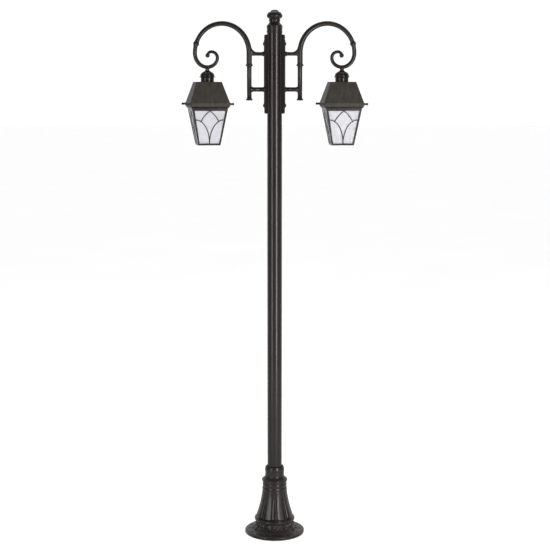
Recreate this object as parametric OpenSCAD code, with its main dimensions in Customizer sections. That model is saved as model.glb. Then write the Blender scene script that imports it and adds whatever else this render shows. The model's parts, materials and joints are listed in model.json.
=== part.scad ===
// Twin-arm street lamp post: a cast foot, a steel tube and two scroll arms,
// each with a square hanging lantern that swivels and drops open for a new lamp.
// Origin: middle of the foot's underside. +Z up, the lanterns stand out along X.

/* [Post] */
// Height from the ground to the top of the finial
post_h = 2734; // [2400:1:3200]
// Outside diameter of the post tube
tube_od = 76.1; // [70:0.1:80]
// Wall of the post tube
tube_wall = 3.2; // [2.5:0.1:5]

/* [Foot] */
// Diameter of the foot's flange
flange_d = 314; // [300:1:380]
// Thickness of the flange's rim
flange_t = 13; // [10:0.5:18]
// Diameter of the circle that the anchor holes lie on
anchor_pcd = 268; // [262:1:276]
// Diameter of an anchor hole
anchor_hole_d = 14; // [10:0.5:16]
// Number of anchor holes
anchor_count = 3; // [3:1:6]
// Height of the foot casting
foot_h = 278; // [268:1:330]
// Wall of the foot casting
foot_wall = 9; // [7:0.5:12]
// Number of petals round the bell of the foot
petal_count = 8; // [6:1:10]
// Height of the collar above the foot casting
collar_h = 84; // [78:1:100]

/* [Arms] */
// Distance from the post's middle to a lantern's middle
reach = 341; // [330:1:400]
// Height of the upper bar of each arm
upper_bar_z = 2515; // [2400:1:2530]
// Distance between the upper and the lower bar
bar_spacing = 178; // [150:1:200]
// Distance from the post's middle to the upright of each arm
upright_x = 128.5; // [115:0.5:145]
// Radius of the upright
upright_r = 12; // [10:0.5:14]
// Radius of the upper bar
upper_bar_r = 9.5; // [8:0.5:11]
// Radius of the lower bar
lower_bar_r = 11.5; // [9:0.5:11.5]
// Rise of the arch above its springing
arch_rise = 146; // [130:1:180]
// Radius of the scroll bar at its root
scroll_root_r = 13.9; // [12:0.1:14.5]
// Radius of the scroll bar at its tip
scroll_tip_r = 7.3; // [6:0.1:9]

/* [Lantern] */
// Half width of the roof's eave
eave_half = 101; // [95:1:115]
// Half width of the roof's top
roof_top_half = 64.5; // [56:0.5:72]
// Height of the roof above its skirt
roof_h = 106; // [90:1:125]
// Height of the roof's upright skirt
skirt_h = 18; // [16:0.5:20]
// Sheet thickness of the roof
roof_wall = 2.5; // [2:0.1:3]
// Half width of the glazed body under the gallery
body_top_half = 91.5; // [87:0.5:94]
// Half width of the glazed body at its foot
body_foot_half = 56.5; // [50:0.5:66]
// Height of the glazed body below the gallery
body_h = 187; // [160:1:210]
// Thickness of a glass pane
glass_t = 3; // [2:0.5:4]
// Width of a tracery strip
tracery_w = 6; // [4:0.5:8]
// How far the left lantern is turned on its stem
left_turn = 11; // [0:1:20]
// How far the right lantern is turned on its stem
right_turn = 5; // [0:1:20]
// Radius of the lamp's globe
lamp_r = 30; // [22:1:32]

/* [Clearances] */
// Radial room of a piece that only slides in on assembly
fit_gap = 0.2; // [0.1:0.05:0.3]
// Radial room of a turning pin or screw
run_gap = 0.06; // [0.03:0.01:0.1]
// Room between faces that pass each other
face_gap = 0.3; // [0.2:0.05:0.5]
// Room between the faces of pieces that are screwed up tight
seat_gap = 0.05; // [0.02:0.01:0.1]

/* [Hidden] */

$fn = 64;

// Finishes
bronze = [0.20, 0.18, 0.165];
bronze_light = [0.26, 0.24, 0.22];
steel = [0.62, 0.62, 0.62];
brass = [0.72, 0.58, 0.30];
rubber = [0.08, 0.08, 0.08];
porcelain = [0.90, 0.89, 0.86];
frosted = [0.86, 0.86, 0.87];

tube_r = tube_od / 2;
LEFT = -1;
RIGHT = 1;
cut = 1;

// ---- Foot -----------------------------------------------------------------

flange_r = flange_d / 2;
rim_round = 4;
step_r = flange_r - 9;
step_h = 3;
foot_cove_r = 22;
drum_r = 95;
drum_top = 66;
torus_r = 9;
torus_z = drum_top + 8;
torus_out = drum_r + 11.5;
// The bell's outline is one hollow arc that stands upright at the foot's neck.
neck_r = tube_r + 26.35;
bell_foot_r = 92.4;
bell_foot_z = 100.5;
bell_neck_z = foot_h - 8;
bell_sag = bell_foot_r - neck_r;
bell_rise = bell_neck_z - bell_foot_z;
bell_arc_r = (bell_rise * bell_rise + bell_sag * bell_sag) / (2 * bell_sag);
bell_arc_x = neck_r + bell_arc_r;
ring_z = foot_h - 38;
ring_r = 5;
ring_out = neck_r + 2.1;

groove_r = 6;
groove_depth = 3.5;
groove_foot_z = bell_foot_z + 11;
groove_top_z = ring_z - 14;

socket_r = tube_r + fit_gap;
socket_wall = 8;
socket_z = 150;
tube_foot_z = socket_z + 8;
socket_ledge = 5;
socket_floor_z = 228;
cavity_r = drum_r - foot_wall - 2;

post_boss_r = 6;
boss_x = 20;
bracket_y = 62;
bracket_t = 3;
boss_z = 55;
boss_hole_r = 2.5;
earth_boss_x = 66;
earth_r = 4;

function bell_angle(z) = asin((bell_neck_z - z) / bell_arc_r);

module flange_outline() {
    square([flange_r - rim_round, flange_t]);
    square([flange_r, flange_t - rim_round]);
    translate([flange_r - rim_round, flange_t - rim_round]) circle(r = rim_round);
    square([step_r, flange_t + step_h]);
}

module drum_outline() {
    square([drum_r, drum_top]);
    difference() {
        square([drum_r + foot_cove_r, flange_t + step_h + foot_cove_r]);
        translate([drum_r + foot_cove_r, flange_t + step_h + foot_cove_r])
            circle(r = foot_cove_r);
    }
    translate([0, torus_z - torus_r]) square([torus_out - torus_r, 2 * torus_r]);
    translate([torus_out - torus_r, torus_z]) circle(r = torus_r);
}

module bell_outline() {
    difference() {
        translate([0, torus_z]) square([torus_out - torus_r, foot_h - torus_z]);
        translate([bell_arc_x, bell_neck_z]) circle(r = bell_arc_r, $fn = 360);
    }
    translate([ring_out - ring_r, ring_z]) circle(r = ring_r);
}

module foot_cavity() {
    difference() {
        translate([0, -cut]) square([cavity_r, socket_floor_z + cut]);
        translate([bell_arc_x, bell_neck_z]) circle(r = bell_arc_r + foot_wall, $fn = 360);
        translate([0, socket_z]) square([socket_r + socket_wall, foot_h]);
    }
}

module inner_boss(length) {
    rotate([-90, 0, 0]) cylinder(r = post_boss_r, h = length);
}

module anchor_holes() {
    for (k = [0 : anchor_count - 1])
        rotate([0, 0, 90 + k * 360 / anchor_count])
            translate([anchor_pcd / 2, 0, -cut])
                cylinder(d = anchor_hole_d, h = flange_t + step_h + foot_cove_r);
}

module bell_groove() {
    start = bell_angle(groove_top_z);
    sweep = bell_angle(groove_foot_z) - start;
    translate([bell_arc_x, 0, bell_neck_z])
        rotate([90, 0, 0])
            rotate([0, 0, 180 + start])
                rotate_extrude(angle = sweep, $fn = 360)
                    translate([bell_arc_r + groove_depth - groove_r, 0])
                        circle(r = groove_r, $fn = 32);
}

module base_casting() {
    color(bronze) difference() {
        union() {
            rotate_extrude() difference() {
                union() {
                    flange_outline();
                    drum_outline();
                    bell_outline();
                }
                foot_cavity();
                translate([0, tube_foot_z]) square([socket_r, foot_h]);
                translate([0, socket_z - cut]) square([socket_r - socket_ledge, foot_h]);
            }
            for (side = [-1, 1])
                translate([side * boss_x, bracket_y + bracket_t, boss_z])
                    inner_boss(drum_r - foot_wall / 2 - bracket_y - bracket_t - 3);
            rotate([0, 0, -90])
                translate([0, earth_boss_x, boss_z])
                    inner_boss(drum_r - foot_wall / 2 - earth_boss_x);
        }
        anchor_holes();
        for (k = [0 : petal_count - 1])
            rotate([0, 0, -90 + k * 360 / petal_count]) bell_groove();
        for (side = [-1, 1])
            translate([side * boss_x, bracket_y, boss_z])
                rotate([-90, 0, 0]) cylinder(r = boss_hole_r, h = 16);
        translate([earth_boss_x - cut, 0, boss_z])
            rotate([0, 90, 0]) cylinder(r = earth_r, h = 16);
        collar_pins(foot_h - 8, pin_r + fit_gap, socket_r + pin_l + cut);
    }
}

// ---- Collar, set screws and tube ------------------------------------------

pin_r = 4;
pin_l = 16;
pin_count = 3;
pin_turn = 90;
collar_z = foot_h;
collar_pin_z = collar_z + 42;
sleeve_r = tube_r + 12.4;
bead_r = 6.5;
bead_out = tube_r + 29.3;
shoulder_h = 20;
lip_h = 6;

cap_h = 54;
cap_seat_z = post_h - 62 - cap_h;
cap_pin_z = cap_seat_z + 18;
cap_r = tube_r + 1.7;
cap_pin_l = 5;
tube_top_z = cap_seat_z + 34;

module collar_pins(z, radius, reach_out) {
    for (k = [0 : pin_count - 1])
        rotate([0, 0, pin_turn + k * 360 / pin_count])
            translate([0, 0, z])
                rotate([0, 90, 0]) cylinder(r = radius, h = reach_out);
}

module base_collar() {
    color(bronze) difference() {
        rotate_extrude() difference() {
            union() {
                square_ring(0, neck_r, collar_z, 4);
                translate([bead_out - bead_r, collar_z + 8]) circle(r = bead_r);
                square_ring(0, bead_out - bead_r, collar_z + 1.5, 13);
                polygon([[0, collar_z + 14], [bead_out - bead_r, collar_z + 14.5],
                    [sleeve_r, collar_z + 27], [0, collar_z + 27]]);
                square_ring(0, sleeve_r, collar_z + 20, collar_h - 20 - shoulder_h);
                square_ring(0, sleeve_r + 1.2, collar_z + collar_h - shoulder_h - lip_h, lip_h);
                polygon([[0, collar_z + collar_h - shoulder_h],
                    [sleeve_r, collar_z + collar_h - shoulder_h],
                    [tube_r + 2.5, collar_z + collar_h],
                    [0, collar_z + collar_h]]);
            }
            translate([0, collar_z - cut]) square([socket_r, collar_h + 2 * cut]);
        }
        collar_pins(collar_pin_z, pin_r + fit_gap, sleeve_r + cut);
    }
}

module square_ring(inner, outer, z, h) {
    translate([inner, z]) square([outer - inner, h]);
}

// One set screw with its socket, pointing at the post's middle along X
module set_screw(radius, inner, outer) {
    difference() {
        translate([inner, 0, 0]) rotate([0, 90, 0]) cylinder(r = radius, h = outer - inner);
        translate([outer - 3, 0, 0]) rotate([0, 90, 0]) cylinder(r = radius / 2, h = 4, $fn = 6);
    }
}

module set_screws() {
    color(steel) {
        for (k = [0 : pin_count - 1])
            rotate([0, 0, pin_turn + k * 360 / pin_count]) {
                translate([0, 0, foot_h - 8]) set_screw(pin_r, tube_r, tube_r + pin_l);
                translate([0, 0, collar_pin_z]) set_screw(pin_r, tube_r, sleeve_r);
                translate([0, 0, cap_pin_z]) set_screw(cap_pin_r, cap_pin_tip, cap_r + 1);
            }
    }
}

module post_tube() {
    color(bronze) difference() {
        translate([0, 0, tube_foot_z]) cylinder(r = tube_r, h = tube_top_z - tube_foot_z);
        translate([0, 0, tube_foot_z - cut])
            cylinder(r = tube_r - tube_wall, h = post_h);
        for (z = bolt_heights)
            translate([-tube_od, 0, z]) rotate([0, 90, 0]) cylinder(r = bolt_hole_r, h = 2 * tube_od);
        for (side = [LEFT, RIGHT])
            translate([0, 0, wire_hole_z])
                rotate([0, side * 90, 0]) cylinder(r = wire_hole_r, h = tube_od);
    }
}

grommet_lip = 2;

module tube_grommet() {
    bore = tube_r - tube_wall - 6;
    color(rubber) rotate_extrude() difference() {
        union() {
            square_ring(bore, socket_r - socket_ledge - 0.5, socket_z - 3, tube_foot_z - socket_z + 3);
            square_ring(bore, socket_r - socket_ledge + 4, socket_z - 3, 3);
            square_ring(bore, tube_r - tube_wall - face_gap, tube_foot_z, 6);
        }
        translate([bore, socket_z + 9]) circle(r = grommet_lip);
    }
}

// ---- Terminals inside the foot --------------------------------------------

bracket_w = 62;
bracket_z = 22;
bracket_h = 60;
block_w = 52;
block_d = 22;
block_h = 24;
block_z = 36;
way_count = 4;
washer_t = 1.6;
earth_nut_h = 6.5;

module terminal_bracket() {
    color(steel) difference() {
        translate([-bracket_w / 2, bracket_y, bracket_z]) cube([bracket_w, bracket_t, bracket_h]);
        for (side = [-1, 1])
            translate([side * boss_x, bracket_y - cut, boss_z])
                rotate([-90, 0, 0]) cylinder(r = boss_hole_r + fit_gap, h = bracket_t + 2 * cut);
    }
}

module terminal_screws() {
    color(steel) for (side = [-1, 1])
        translate([side * boss_x, 0, boss_z]) rotate([-90, 0, 0]) difference() {
            union() {
                translate([0, 0, bracket_y - 3]) cylinder(r = 4.4, h = 3);
                translate([0, 0, bracket_y - 1]) cylinder(r = boss_hole_r - 0.02, h = 13);
            }
            translate([0, 0, bracket_y - 4]) cylinder(r = 2, h = 2.4, $fn = 6);
        }
}

module terminal_block() {
    pitch = block_w / way_count;
    color(porcelain) difference() {
        translate([-block_w / 2, bracket_y - block_d, block_z - block_h / 2])
            cube([block_w, block_d, block_h]);
        for (k = [0 : way_count - 1])
            translate([-block_w / 2 + (k + 0.5) * pitch, bracket_y - block_d - cut, block_z])
                rotate([-90, 0, 0]) cylinder(r = 3, h = 9);
        for (k = [0 : way_count - 1])
            translate([-block_w / 2 + (k + 0.5) * pitch, bracket_y - block_d / 2, block_z - block_h])
                cylinder(r = 2.4, h = 2 * block_h);
    }
}

module earth_stud() {
    color(brass) {
        translate([earth_boss_x - 16, 0, boss_z])
            rotate([0, 90, 0]) cylinder(r = earth_r - 0.05, h = 29);
        translate([earth_boss_x - washer_t, 0, boss_z])
            rotate([0, 90, 0]) washer(8, earth_r + 0.1, washer_t);
        translate([earth_boss_x - washer_t - seat_gap - earth_nut_h, 0, boss_z])
            rotate([0, 90, 0]) hex_nut(7.5, earth_r + 0.05, earth_nut_h);
    }
}

module washer(radius, hole, thick) {
    difference() {
        cylinder(r = radius, h = thick);
        translate([0, 0, -cut]) cylinder(r = hole, h = thick + 2 * cut);
    }
}

module hex_nut(radius, hole, thick) {
    difference() {
        cylinder(r = radius, h = thick, $fn = 6);
        translate([0, 0, -cut]) cylinder(r = hole, h = thick + 2 * cut);
    }
}

// ---- Post cap and finial --------------------------------------------------

cap_pin_r = 2.5;
cap_pin_tip = tube_r;
cap_top_z = cap_seat_z + cap_h;
cap_rib = 0.9;
cap_roof_z = tube_top_z;
finial_neck_r = 27;
finial_ball_r = 39.5;
finial_h = 62;
stud_r = 5;

module post_cap() {
    color(bronze) difference() {
        rotate_extrude() difference() {
            union() {
                square_ring(0, cap_r, cap_seat_z, 36);
                square_ring(0, cap_r + cap_rib, cap_seat_z + 4, 5);
                square_ring(0, cap_r + cap_rib, cap_seat_z + 28, 6);
                // hollow shoulder up to the finial's neck
                difference() {
                    translate([0, cap_seat_z + 34]) square([cap_r, cap_h - 34]);
                    translate([cap_r + 6.5, cap_top_z + 1.5]) circle(r = cap_r + 6.5 - finial_neck_r);
                }
            }
            translate([0, cap_seat_z - cut]) square([tube_r + fit_gap, tube_top_z - cap_seat_z + cut]);
            translate([0, cap_seat_z]) square([stud_r + fit_gap, cap_h + cut]);
        }
        collar_pins(cap_pin_z, cap_pin_r + fit_gap / 2, cap_r + 5);
    }
}

module finial() {
    ball_z = cap_top_z + 32;
    color(bronze) rotate_extrude() difference() {
        union() {
            square_ring(0, finial_neck_r, cap_top_z, 20);
            translate([finial_neck_r - 6, cap_top_z + 10]) circle(r = 8);
            polygon([[0, cap_top_z + 16], [finial_neck_r + 2.5, cap_top_z + 16],
                [finial_ball_r - 6, cap_top_z + 24], [0, cap_top_z + 24]]);
            intersection() {
                translate([finial_ball_r - 17, ball_z]) circle(r = 17);
                translate([0, cap_top_z]) square([2 * finial_ball_r, finial_h]);
            }
            translate([0, ball_z - 17]) square([finial_ball_r - 17, 33]);
            // flat dome on the top
            intersection() {
                translate([0, cap_top_z + finial_h - 34]) circle(r = 34);
                translate([0, ball_z]) square([23.5, finial_h]);
            }
        }
        translate([0, cap_top_z - cut]) square([stud_r + fit_gap, 26]);
        translate([-100, cap_top_z - 2 * cut]) square([100, 2 * finial_h]);
    }
}

module finial_stud() {
    color(steel) {
        translate([0, 0, cap_roof_z - 14]) cylinder(r = stud_r, h = cap_top_z - cap_roof_z + 38);
        translate([0, 0, cap_roof_z - washer_t - seat_gap - 7]) hex_nut(9.5, stud_r + 0.05, 7);
        translate([0, 0, cap_roof_z - washer_t]) washer(13, stud_r + 0.1, washer_t);
    }
}

// ---- Arms -----------------------------------------------------------------

lower_bar_z = upper_bar_z - bar_spacing;
saddle_out = 54.5;
saddle_low = upper_bar_z - 283;
saddle_high = upper_bar_z + 79;
saddle_tip = 17;
saddle_r = tube_r + 0.15;
saddle_edge_x = 26;
bolt_low_z = upper_bar_z - 259;
bolt_high_z = upper_bar_z + 50;
bolt_heights = [bolt_low_z, bolt_high_z];
bolt_r = 5;
bolt_hole_r = bolt_r + 0.4;
bolt_head_r = 9.5;
bolt_head_h = 5.2;
wire_hole_z = upper_bar_z;
wire_hole_r = 3.4;
boss_len = 8;
bar_start = saddle_out + boss_len;
tenon_r = 5.5;
tenon_l = 13;

ring_low_z = upper_bar_z - 63;
ring_high_z = ring_low_z + 14;
ring_band_r = upright_r + 6.2;
upright_low_z = upper_bar_z - 220;
spigot_r = 6.5;
spigot_l = 18;
foot_cap_l = 14;
foot_cap_r = 17.5;

// Outline of half a saddle, tapering from the tube to a flat outer face
module saddle_outline(out) {
    inner_y = sqrt(saddle_r * saddle_r - saddle_edge_x * saddle_edge_x);
    difference() {
        polygon([[saddle_edge_x, -inner_y], [saddle_edge_x + 4, -inner_y - 2.5],
            [out - 9, -17], [out - 2.5, -13], [out, -9],
            [out, 9], [out - 2.5, 13], [out - 9, 17],
            [saddle_edge_x + 4, inner_y + 2.5], [saddle_edge_x, inner_y]]);
        circle(r = saddle_r);
    }
}

module bar_boss(radius, z) {
    translate([saddle_out - 1, 0, z]) rotate([0, 90, 0])
        cylinder(r1 = radius + 5, r2 = radius + 0.6, h = boss_len + 1);
}

// A bolt or bar hole through the saddle, running out along X
module x_bore(radius, z, from, to) {
    translate([from, 0, z]) rotate([0, 90, 0]) cylinder(r = radius, h = to - from);
}

module arm_saddle(side) {
    color(bronze) place_arm(side) difference() {
        union() {
            translate([0, 0, saddle_low]) linear_extrude(saddle_high - saddle_low)
                saddle_outline(saddle_out);
            translate([0, 0, saddle_low - saddle_tip])
                linear_extrude(saddle_tip) saddle_outline(saddle_out - 5);
            translate([0, 0, saddle_high]) linear_extrude(saddle_tip)
                saddle_outline(saddle_out - 3);
            bar_boss(upper_bar_r, upper_bar_z);
            bar_boss(lower_bar_r, lower_bar_z);
        }
        for (z = bolt_heights) x_bore(bolt_hole_r, z, 0, 2 * saddle_out);
        x_bore(wire_hole_r, wire_hole_z, 0, 2 * saddle_out);
        x_bore(tenon_r + fit_gap, upper_bar_z, bar_start - tenon_l, 2 * saddle_out);
        x_bore(tenon_r + fit_gap, lower_bar_z, bar_start - tenon_l, 2 * saddle_out);
    }
}

module place_arm(side) {
    if (side == RIGHT) children();
    else mirror([1, 0, 0]) children();
}

module arm_lower_bar(side) {
    color(bronze) place_arm(side) difference() {
        union() {
            x_bore(lower_bar_r, lower_bar_z, bar_start, upright_x);
            x_bore(tenon_r, lower_bar_z, bar_start - tenon_l + 1, bar_start + 1);
        }
        translate([upright_x, 0, lower_bar_z - 2 * lower_bar_r])
            cylinder(r = upright_r + fit_gap, h = 4 * lower_bar_r);
    }
}

module arm_upright(side) {
    color(bronze) place_arm(side) translate([upright_x, 0, 0]) {
        translate([0, 0, upright_low_z]) cylinder(r = upright_r, h = ring_low_z - upright_low_z);
        translate([0, 0, ring_low_z - 1]) cylinder(r = spigot_r, h = spigot_l + 1);
        translate([0, 0, upright_low_z - foot_cap_l + 4]) cylinder(r = spigot_r, h = foot_cap_l);
    }
}

module arm_foot_cap(side) {
    low = upright_low_z - foot_cap_l;
    color(bronze) place_arm(side) translate([upright_x, 0, 0]) rotate_extrude() difference() {
        union() {
            square_ring(0, foot_cap_r, low, 4);
            difference() {
                translate([0, low]) square([foot_cap_r, foot_cap_l]);
                translate([upright_r + 9.5, low + foot_cap_l]) circle(r = 9.5);
            }
        }
        translate([0, low + 3.8]) square([spigot_r + fit_gap, foot_cap_l]);
    }
}

// The scroll's centre line in the plane of the arm: [distance out, height]
arch_mid = (upright_x + reach + 62) / 2;
arch_half = arch_mid - upright_x;
spring_z = upper_bar_z + 5;
curl_out = arch_mid + arch_half;
curl_low_z = upper_bar_z - 66;
curl_in = reach - 51.5;
curl_in_z = upper_bar_z - 20;
curl_top_x = reach - 21.5;
curl_top_z = upper_bar_z + 10.5;
curl_end_x = reach - 2;
curl_end_z = upper_bar_z - 8;
tip_ball_r = 11.4;

socket_rings = 5;
arch_rings = 30;
curl_rings = 10;
scroll_sides = 14;

function on_ellipse(mid, half, angle) =
    [mid[0] + half[0] * cos(angle), mid[1] + half[1] * sin(angle)];

function quarter(mid, half, from, to, rings) =
    [for (k = [1 : rings]) on_ellipse(mid, half, from + (to - from) * k / rings)];

scroll_path = concat(
    [for (k = [0 : socket_rings - 1])
        [upright_x, ring_low_z + (spring_z - ring_low_z) * k / socket_rings]],
    [[upright_x, spring_z]],
    quarter([arch_mid, spring_z], [arch_half, arch_rise], 180, 0, arch_rings),
    quarter([reach, spring_z - 2], [curl_out - reach, spring_z - 2 - curl_low_z], 0, -90, curl_rings),
    quarter([reach, curl_in_z], [reach - curl_in, curl_in_z - curl_low_z], -90, -180, curl_rings - 1),
    quarter([curl_top_x, curl_in_z], [curl_top_x - curl_in, curl_top_z - curl_in_z], 180, 90,
        curl_rings - 3),
    quarter([curl_top_x, curl_end_z], [curl_end_x - curl_top_x, curl_top_z - curl_end_z], 90, 0,
        curl_rings - 4)
);

// Share of the way along the scroll at which its bead sits
bead_ring = socket_rings + arch_rings * 0.9;
bead_swell = 5.5;
bead_rings = 1.3;

function bead(k) =
    abs(k - bead_ring) < bead_rings ? bead_swell * cos(90 * (k - bead_ring) / bead_rings) : 0;

function scroll_radius(k) =
    let (share = max(0, k - socket_rings) / (len(scroll_path) - 1 - socket_rings))
    scroll_root_r + (scroll_tip_r - scroll_root_r) * share + bead(k);

function along(path, k) =
    let (a = path[max(0, k - 1)], b = path[min(len(path) - 1, k + 1)], d = b - a)
    d / norm(d);

function sweep_ring(path, k, r, n) =
    let (t = along(path, k))
    [for (s = [0 : n - 1])
        let (a = 360 * s / n)
        [path[k][0] - t[1] * r * cos(a), r * sin(a), path[k][1] + t[0] * r * cos(a)]];

// A round bar with n sides swept along a path in the plane of the arm
module swept_bar(path, radii, n) {
    last = len(path) - 1;
    points = [for (k = [0 : last]) each sweep_ring(path, k, radii[k], n)];
    sides = [for (k = [0 : last - 1]) for (s = [0 : n - 1])
        [k * n + s, k * n + (s + 1) % n, (k + 1) * n + (s + 1) % n, (k + 1) * n + s]];
    ends = [[for (s = [n - 1 : -1 : 0]) s], [for (s = [0 : n - 1]) last * n + s]];
    polyhedron(points, concat(sides, ends));
}

// The cable way follows the scroll's middle as far as the stem
wire_sides = 8;
wire_way_r = 4.3;
wire_path = concat([[upright_x, upper_bar_z - 4.6]],
    [for (k = [socket_rings : 2 : socket_rings + arch_rings + curl_rings]) scroll_path[k]],
    [[reach + 0.3, curl_low_z - 3], [reach, curl_low_z - 10]]);

stem_r = 6.5;
stem_boss_r = 12.5;
swivel_z = curl_low_z - 17.5;
stem_depth = 9;

module scroll_arm(side) {
    color(bronze) place_arm(side) difference() {
        union() {
            swept_bar(scroll_path, [for (k = [0 : len(scroll_path) - 1]) scroll_radius(k)], scroll_sides);
            translate([curl_end_x, 0, curl_end_z]) rotate([90, 0, 0]) sphere(r = tip_ball_r);
            translate([upright_x, 0, ring_low_z]) rotate_extrude() {
                square_ring(0, ring_band_r - 2.5, 0, 14);
                translate([ring_band_r - 5, 7]) circle(r = 5);
                square_ring(0, ring_band_r - 5, 2, 10);
            }
            x_bore(upper_bar_r, upper_bar_z, bar_start, upright_x);
            x_bore(tenon_r, upper_bar_z, bar_start - tenon_l + 1, bar_start + 1);
            translate([reach, 0, swivel_z]) cylinder(r1 = stem_boss_r - 1.5, r2 = stem_boss_r + 1, h = 12);
        }
        translate([upright_x, 0, ring_low_z - cut])
            cylinder(r = spigot_r + fit_gap, h = spigot_l + 2 * cut);
        translate([reach, 0, swivel_z - cut]) cylinder(r = stem_r + 0.02, h = stem_depth + cut);
        // cable way from the upper bar round the arch to the stem
        x_bore(wire_hole_r, upper_bar_z, bar_start - tenon_l, upright_x - 1);
        swept_bar(wire_path, [for (p = wire_path) wire_way_r], wire_sides);
    }
}

// ---- Lantern stem and cap -------------------------------------------------

cap_shell = 3;
cap_crown_r = 13;
cap_dome_r = 36;
brim_r = 41;
neck_out = 32.5;
cap_neck_h = 24;
brim_t = 4;
// Heights in the lantern, all hung from the swivel face
crown_z = swivel_z - face_gap;
dome_h = 32;
brim_z = crown_z - dome_h;
lantern_top_z = brim_z - cap_neck_h;
skirt_top_z = lantern_top_z - roof_h;
skirt_low_z = skirt_top_z - skirt_h;
crown_under_z = crown_z - 9;
nut_r = 10.5;
nut_h = 7;
stem_bore_r = 3.8;

module place_lantern(side, turn) {
    translate([side * reach, 0, 0]) rotate([0, 0, turn]) children();
}

module swivel_stem(side) {
    color(steel) translate([side * reach, 0, crown_under_z - 14]) difference() {
        cylinder(r = stem_r, h = swivel_z + stem_depth - crown_under_z + 14 - 0.5);
        translate([0, 0, -cut]) cylinder(r = stem_bore_r, h = 80);
    }
}

module stem_nut(side) {
    color(steel) translate([side * reach, 0, 0]) {
        translate([0, 0, crown_under_z - washer_t]) washer(nut_r, stem_r + 0.05, washer_t - seat_gap);
        translate([0, 0, crown_under_z - washer_t - seat_gap - nut_h])
            hex_nut(nut_r, stem_r + 0.02, nut_h);
    }
}

module dome_outline(shrink) {
    intersection() {
        translate([0, brim_z]) square([cap_dome_r - shrink, dome_h - shrink]);
        union() {
            translate([0, brim_z - 6]) circle(r = cap_dome_r - shrink);
            translate([0, brim_z]) square([cap_crown_r - shrink, dome_h]);
        }
    }
}

module lantern_cap() {
    color(bronze) rotate_extrude() difference() {
        union() {
            dome_outline(0);
            square_ring(0, brim_r, brim_z - brim_t / 2, brim_t);
            square_ring(0, neck_out, lantern_top_z, cap_neck_h);
        }
        difference() {
            translate([0, lantern_top_z - cut])
                square([neck_out - cap_shell, crown_under_z - lantern_top_z + cut]);
            translate([-100, crown_under_z]) square([200, 100]);
            difference() {
                translate([0, brim_z]) square([100, 100]);
                translate([0, brim_z - 6]) circle(r = cap_dome_r - cap_shell);
            }
        }
        translate([0, lantern_top_z]) square([stem_r + run_gap, 2 * dome_h + cap_neck_h]);
        translate([-100, lantern_top_z - 2 * cut]) square([100, 200]);
    }
}

// ---- Roof -----------------------------------------------------------------

// A square tower from a list of levels, each [half width, height], lowest first
module square_tower(levels) {
    last = len(levels) - 1;
    points = [for (l = levels) for (c = [[-1, -1], [1, -1], [1, 1], [-1, 1]])
        [c[0] * l[0], c[1] * l[0], l[1]]];
    walls = [for (k = [0 : last - 1]) for (s = [0 : 3])
        [4 * k + s, 4 * k + (s + 1) % 4, 4 * k + 4 + (s + 1) % 4, 4 * k + 4 + s]];
    floor_face = [3, 2, 1, 0];
    top_face = [4 * last, 4 * last + 1, 4 * last + 2, 4 * last + 3];
    polyhedron(points, concat([floor_face, top_face], [for (w = walls) reversed(w)]));
}

module square_block(half, low_z, high_z) {
    translate([-half, -half, low_z]) cube([2 * half, 2 * half, high_z - low_z]);
}

screw_y = eave_half - 13;
screw_z = skirt_low_z + 13;
screw_hole_r = 2.6;
roof_screw_at = 20;
roof_screw_r = 2;
hinge_y = eave_half + 6;
hinge_z = skirt_low_z - face_gap / 2;
knuckle_r = 4.5;
knuckle_in = 20;
knuckle_out = 40;
hinge_pin_r = 2;
roof_slope = (eave_half - roof_top_half) / roof_h;

module hinge_knuckle(from, to) {
    translate([from, hinge_y, hinge_z]) rotate([0, 90, 0]) cylinder(r = knuckle_r, h = to - from);
}

module lantern_roof() {
    color(bronze_light) difference() {
        union() {
            square_tower([[eave_half, skirt_low_z], [eave_half, skirt_top_z],
                [roof_top_half, lantern_top_z]]);
            for (side = [-1, 1]) mirror([side < 0 ? 1 : 0, 0, 0]) {
                hinge_knuckle(knuckle_in + face_gap, knuckle_out);
                translate([knuckle_in + face_gap, eave_half - 1, skirt_low_z])
                    cube([knuckle_out - knuckle_in - face_gap, hinge_y - eave_half + 1, 7]);
            }
        }
        square_tower([[eave_half - roof_wall, skirt_low_z - cut], [eave_half - roof_wall, skirt_top_z],
            [roof_top_half - roof_wall + roof_slope * roof_wall, lantern_top_z - roof_wall]]);
        translate([0, 0, lantern_top_z - 2 * roof_wall]) cylinder(r = 24, h = 4 * roof_wall);
        for (side = [-1, 1])
            translate([side * roof_screw_at, 0, lantern_top_z - 2 * roof_wall])
                translate([side * 8, 0, 0]) cylinder(r = roof_screw_r + 0.1, h = 4 * roof_wall);
        for (sx = [-1, 1]) for (sy = [-1, 1])
            translate([sx * eave_half, sy * screw_y, screw_z])
                rotate([0, 90, 0]) cylinder(r = screw_hole_r, h = 8 * roof_wall, center = true);
        translate([-knuckle_out - cut, hinge_y, hinge_z])
            rotate([0, 90, 0]) cylinder(r = hinge_pin_r + 0.02, h = 2 * (knuckle_out + cut));
    }
}

// Two screws that hold the lamp bracket and the cap's neck to the roof
module roof_screws() {
    color(steel) for (side = [-1, 1])
        translate([side * (roof_screw_at + 8), 0, 0]) {
            translate([0, 0, lantern_top_z - roof_wall - strap_t - 2]) cylinder(r = 4, h = 2);
            translate([0, 0, lantern_top_z - roof_wall - strap_t - 1])
                cylinder(r = roof_screw_r, h = strap_t + roof_wall + 1);
        }
}

module hinge_pin() {
    color(steel) translate([0, hinge_y, hinge_z]) rotate([0, 90, 0]) {
        translate([0, 0, -knuckle_out]) cylinder(r = hinge_pin_r, h = 2 * knuckle_out + 1);
        translate([0, 0, -knuckle_out - 2]) cylinder(r = hinge_pin_r + 1.2, h = 2);
    }
}

// ---- Lamp -----------------------------------------------------------------

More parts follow.
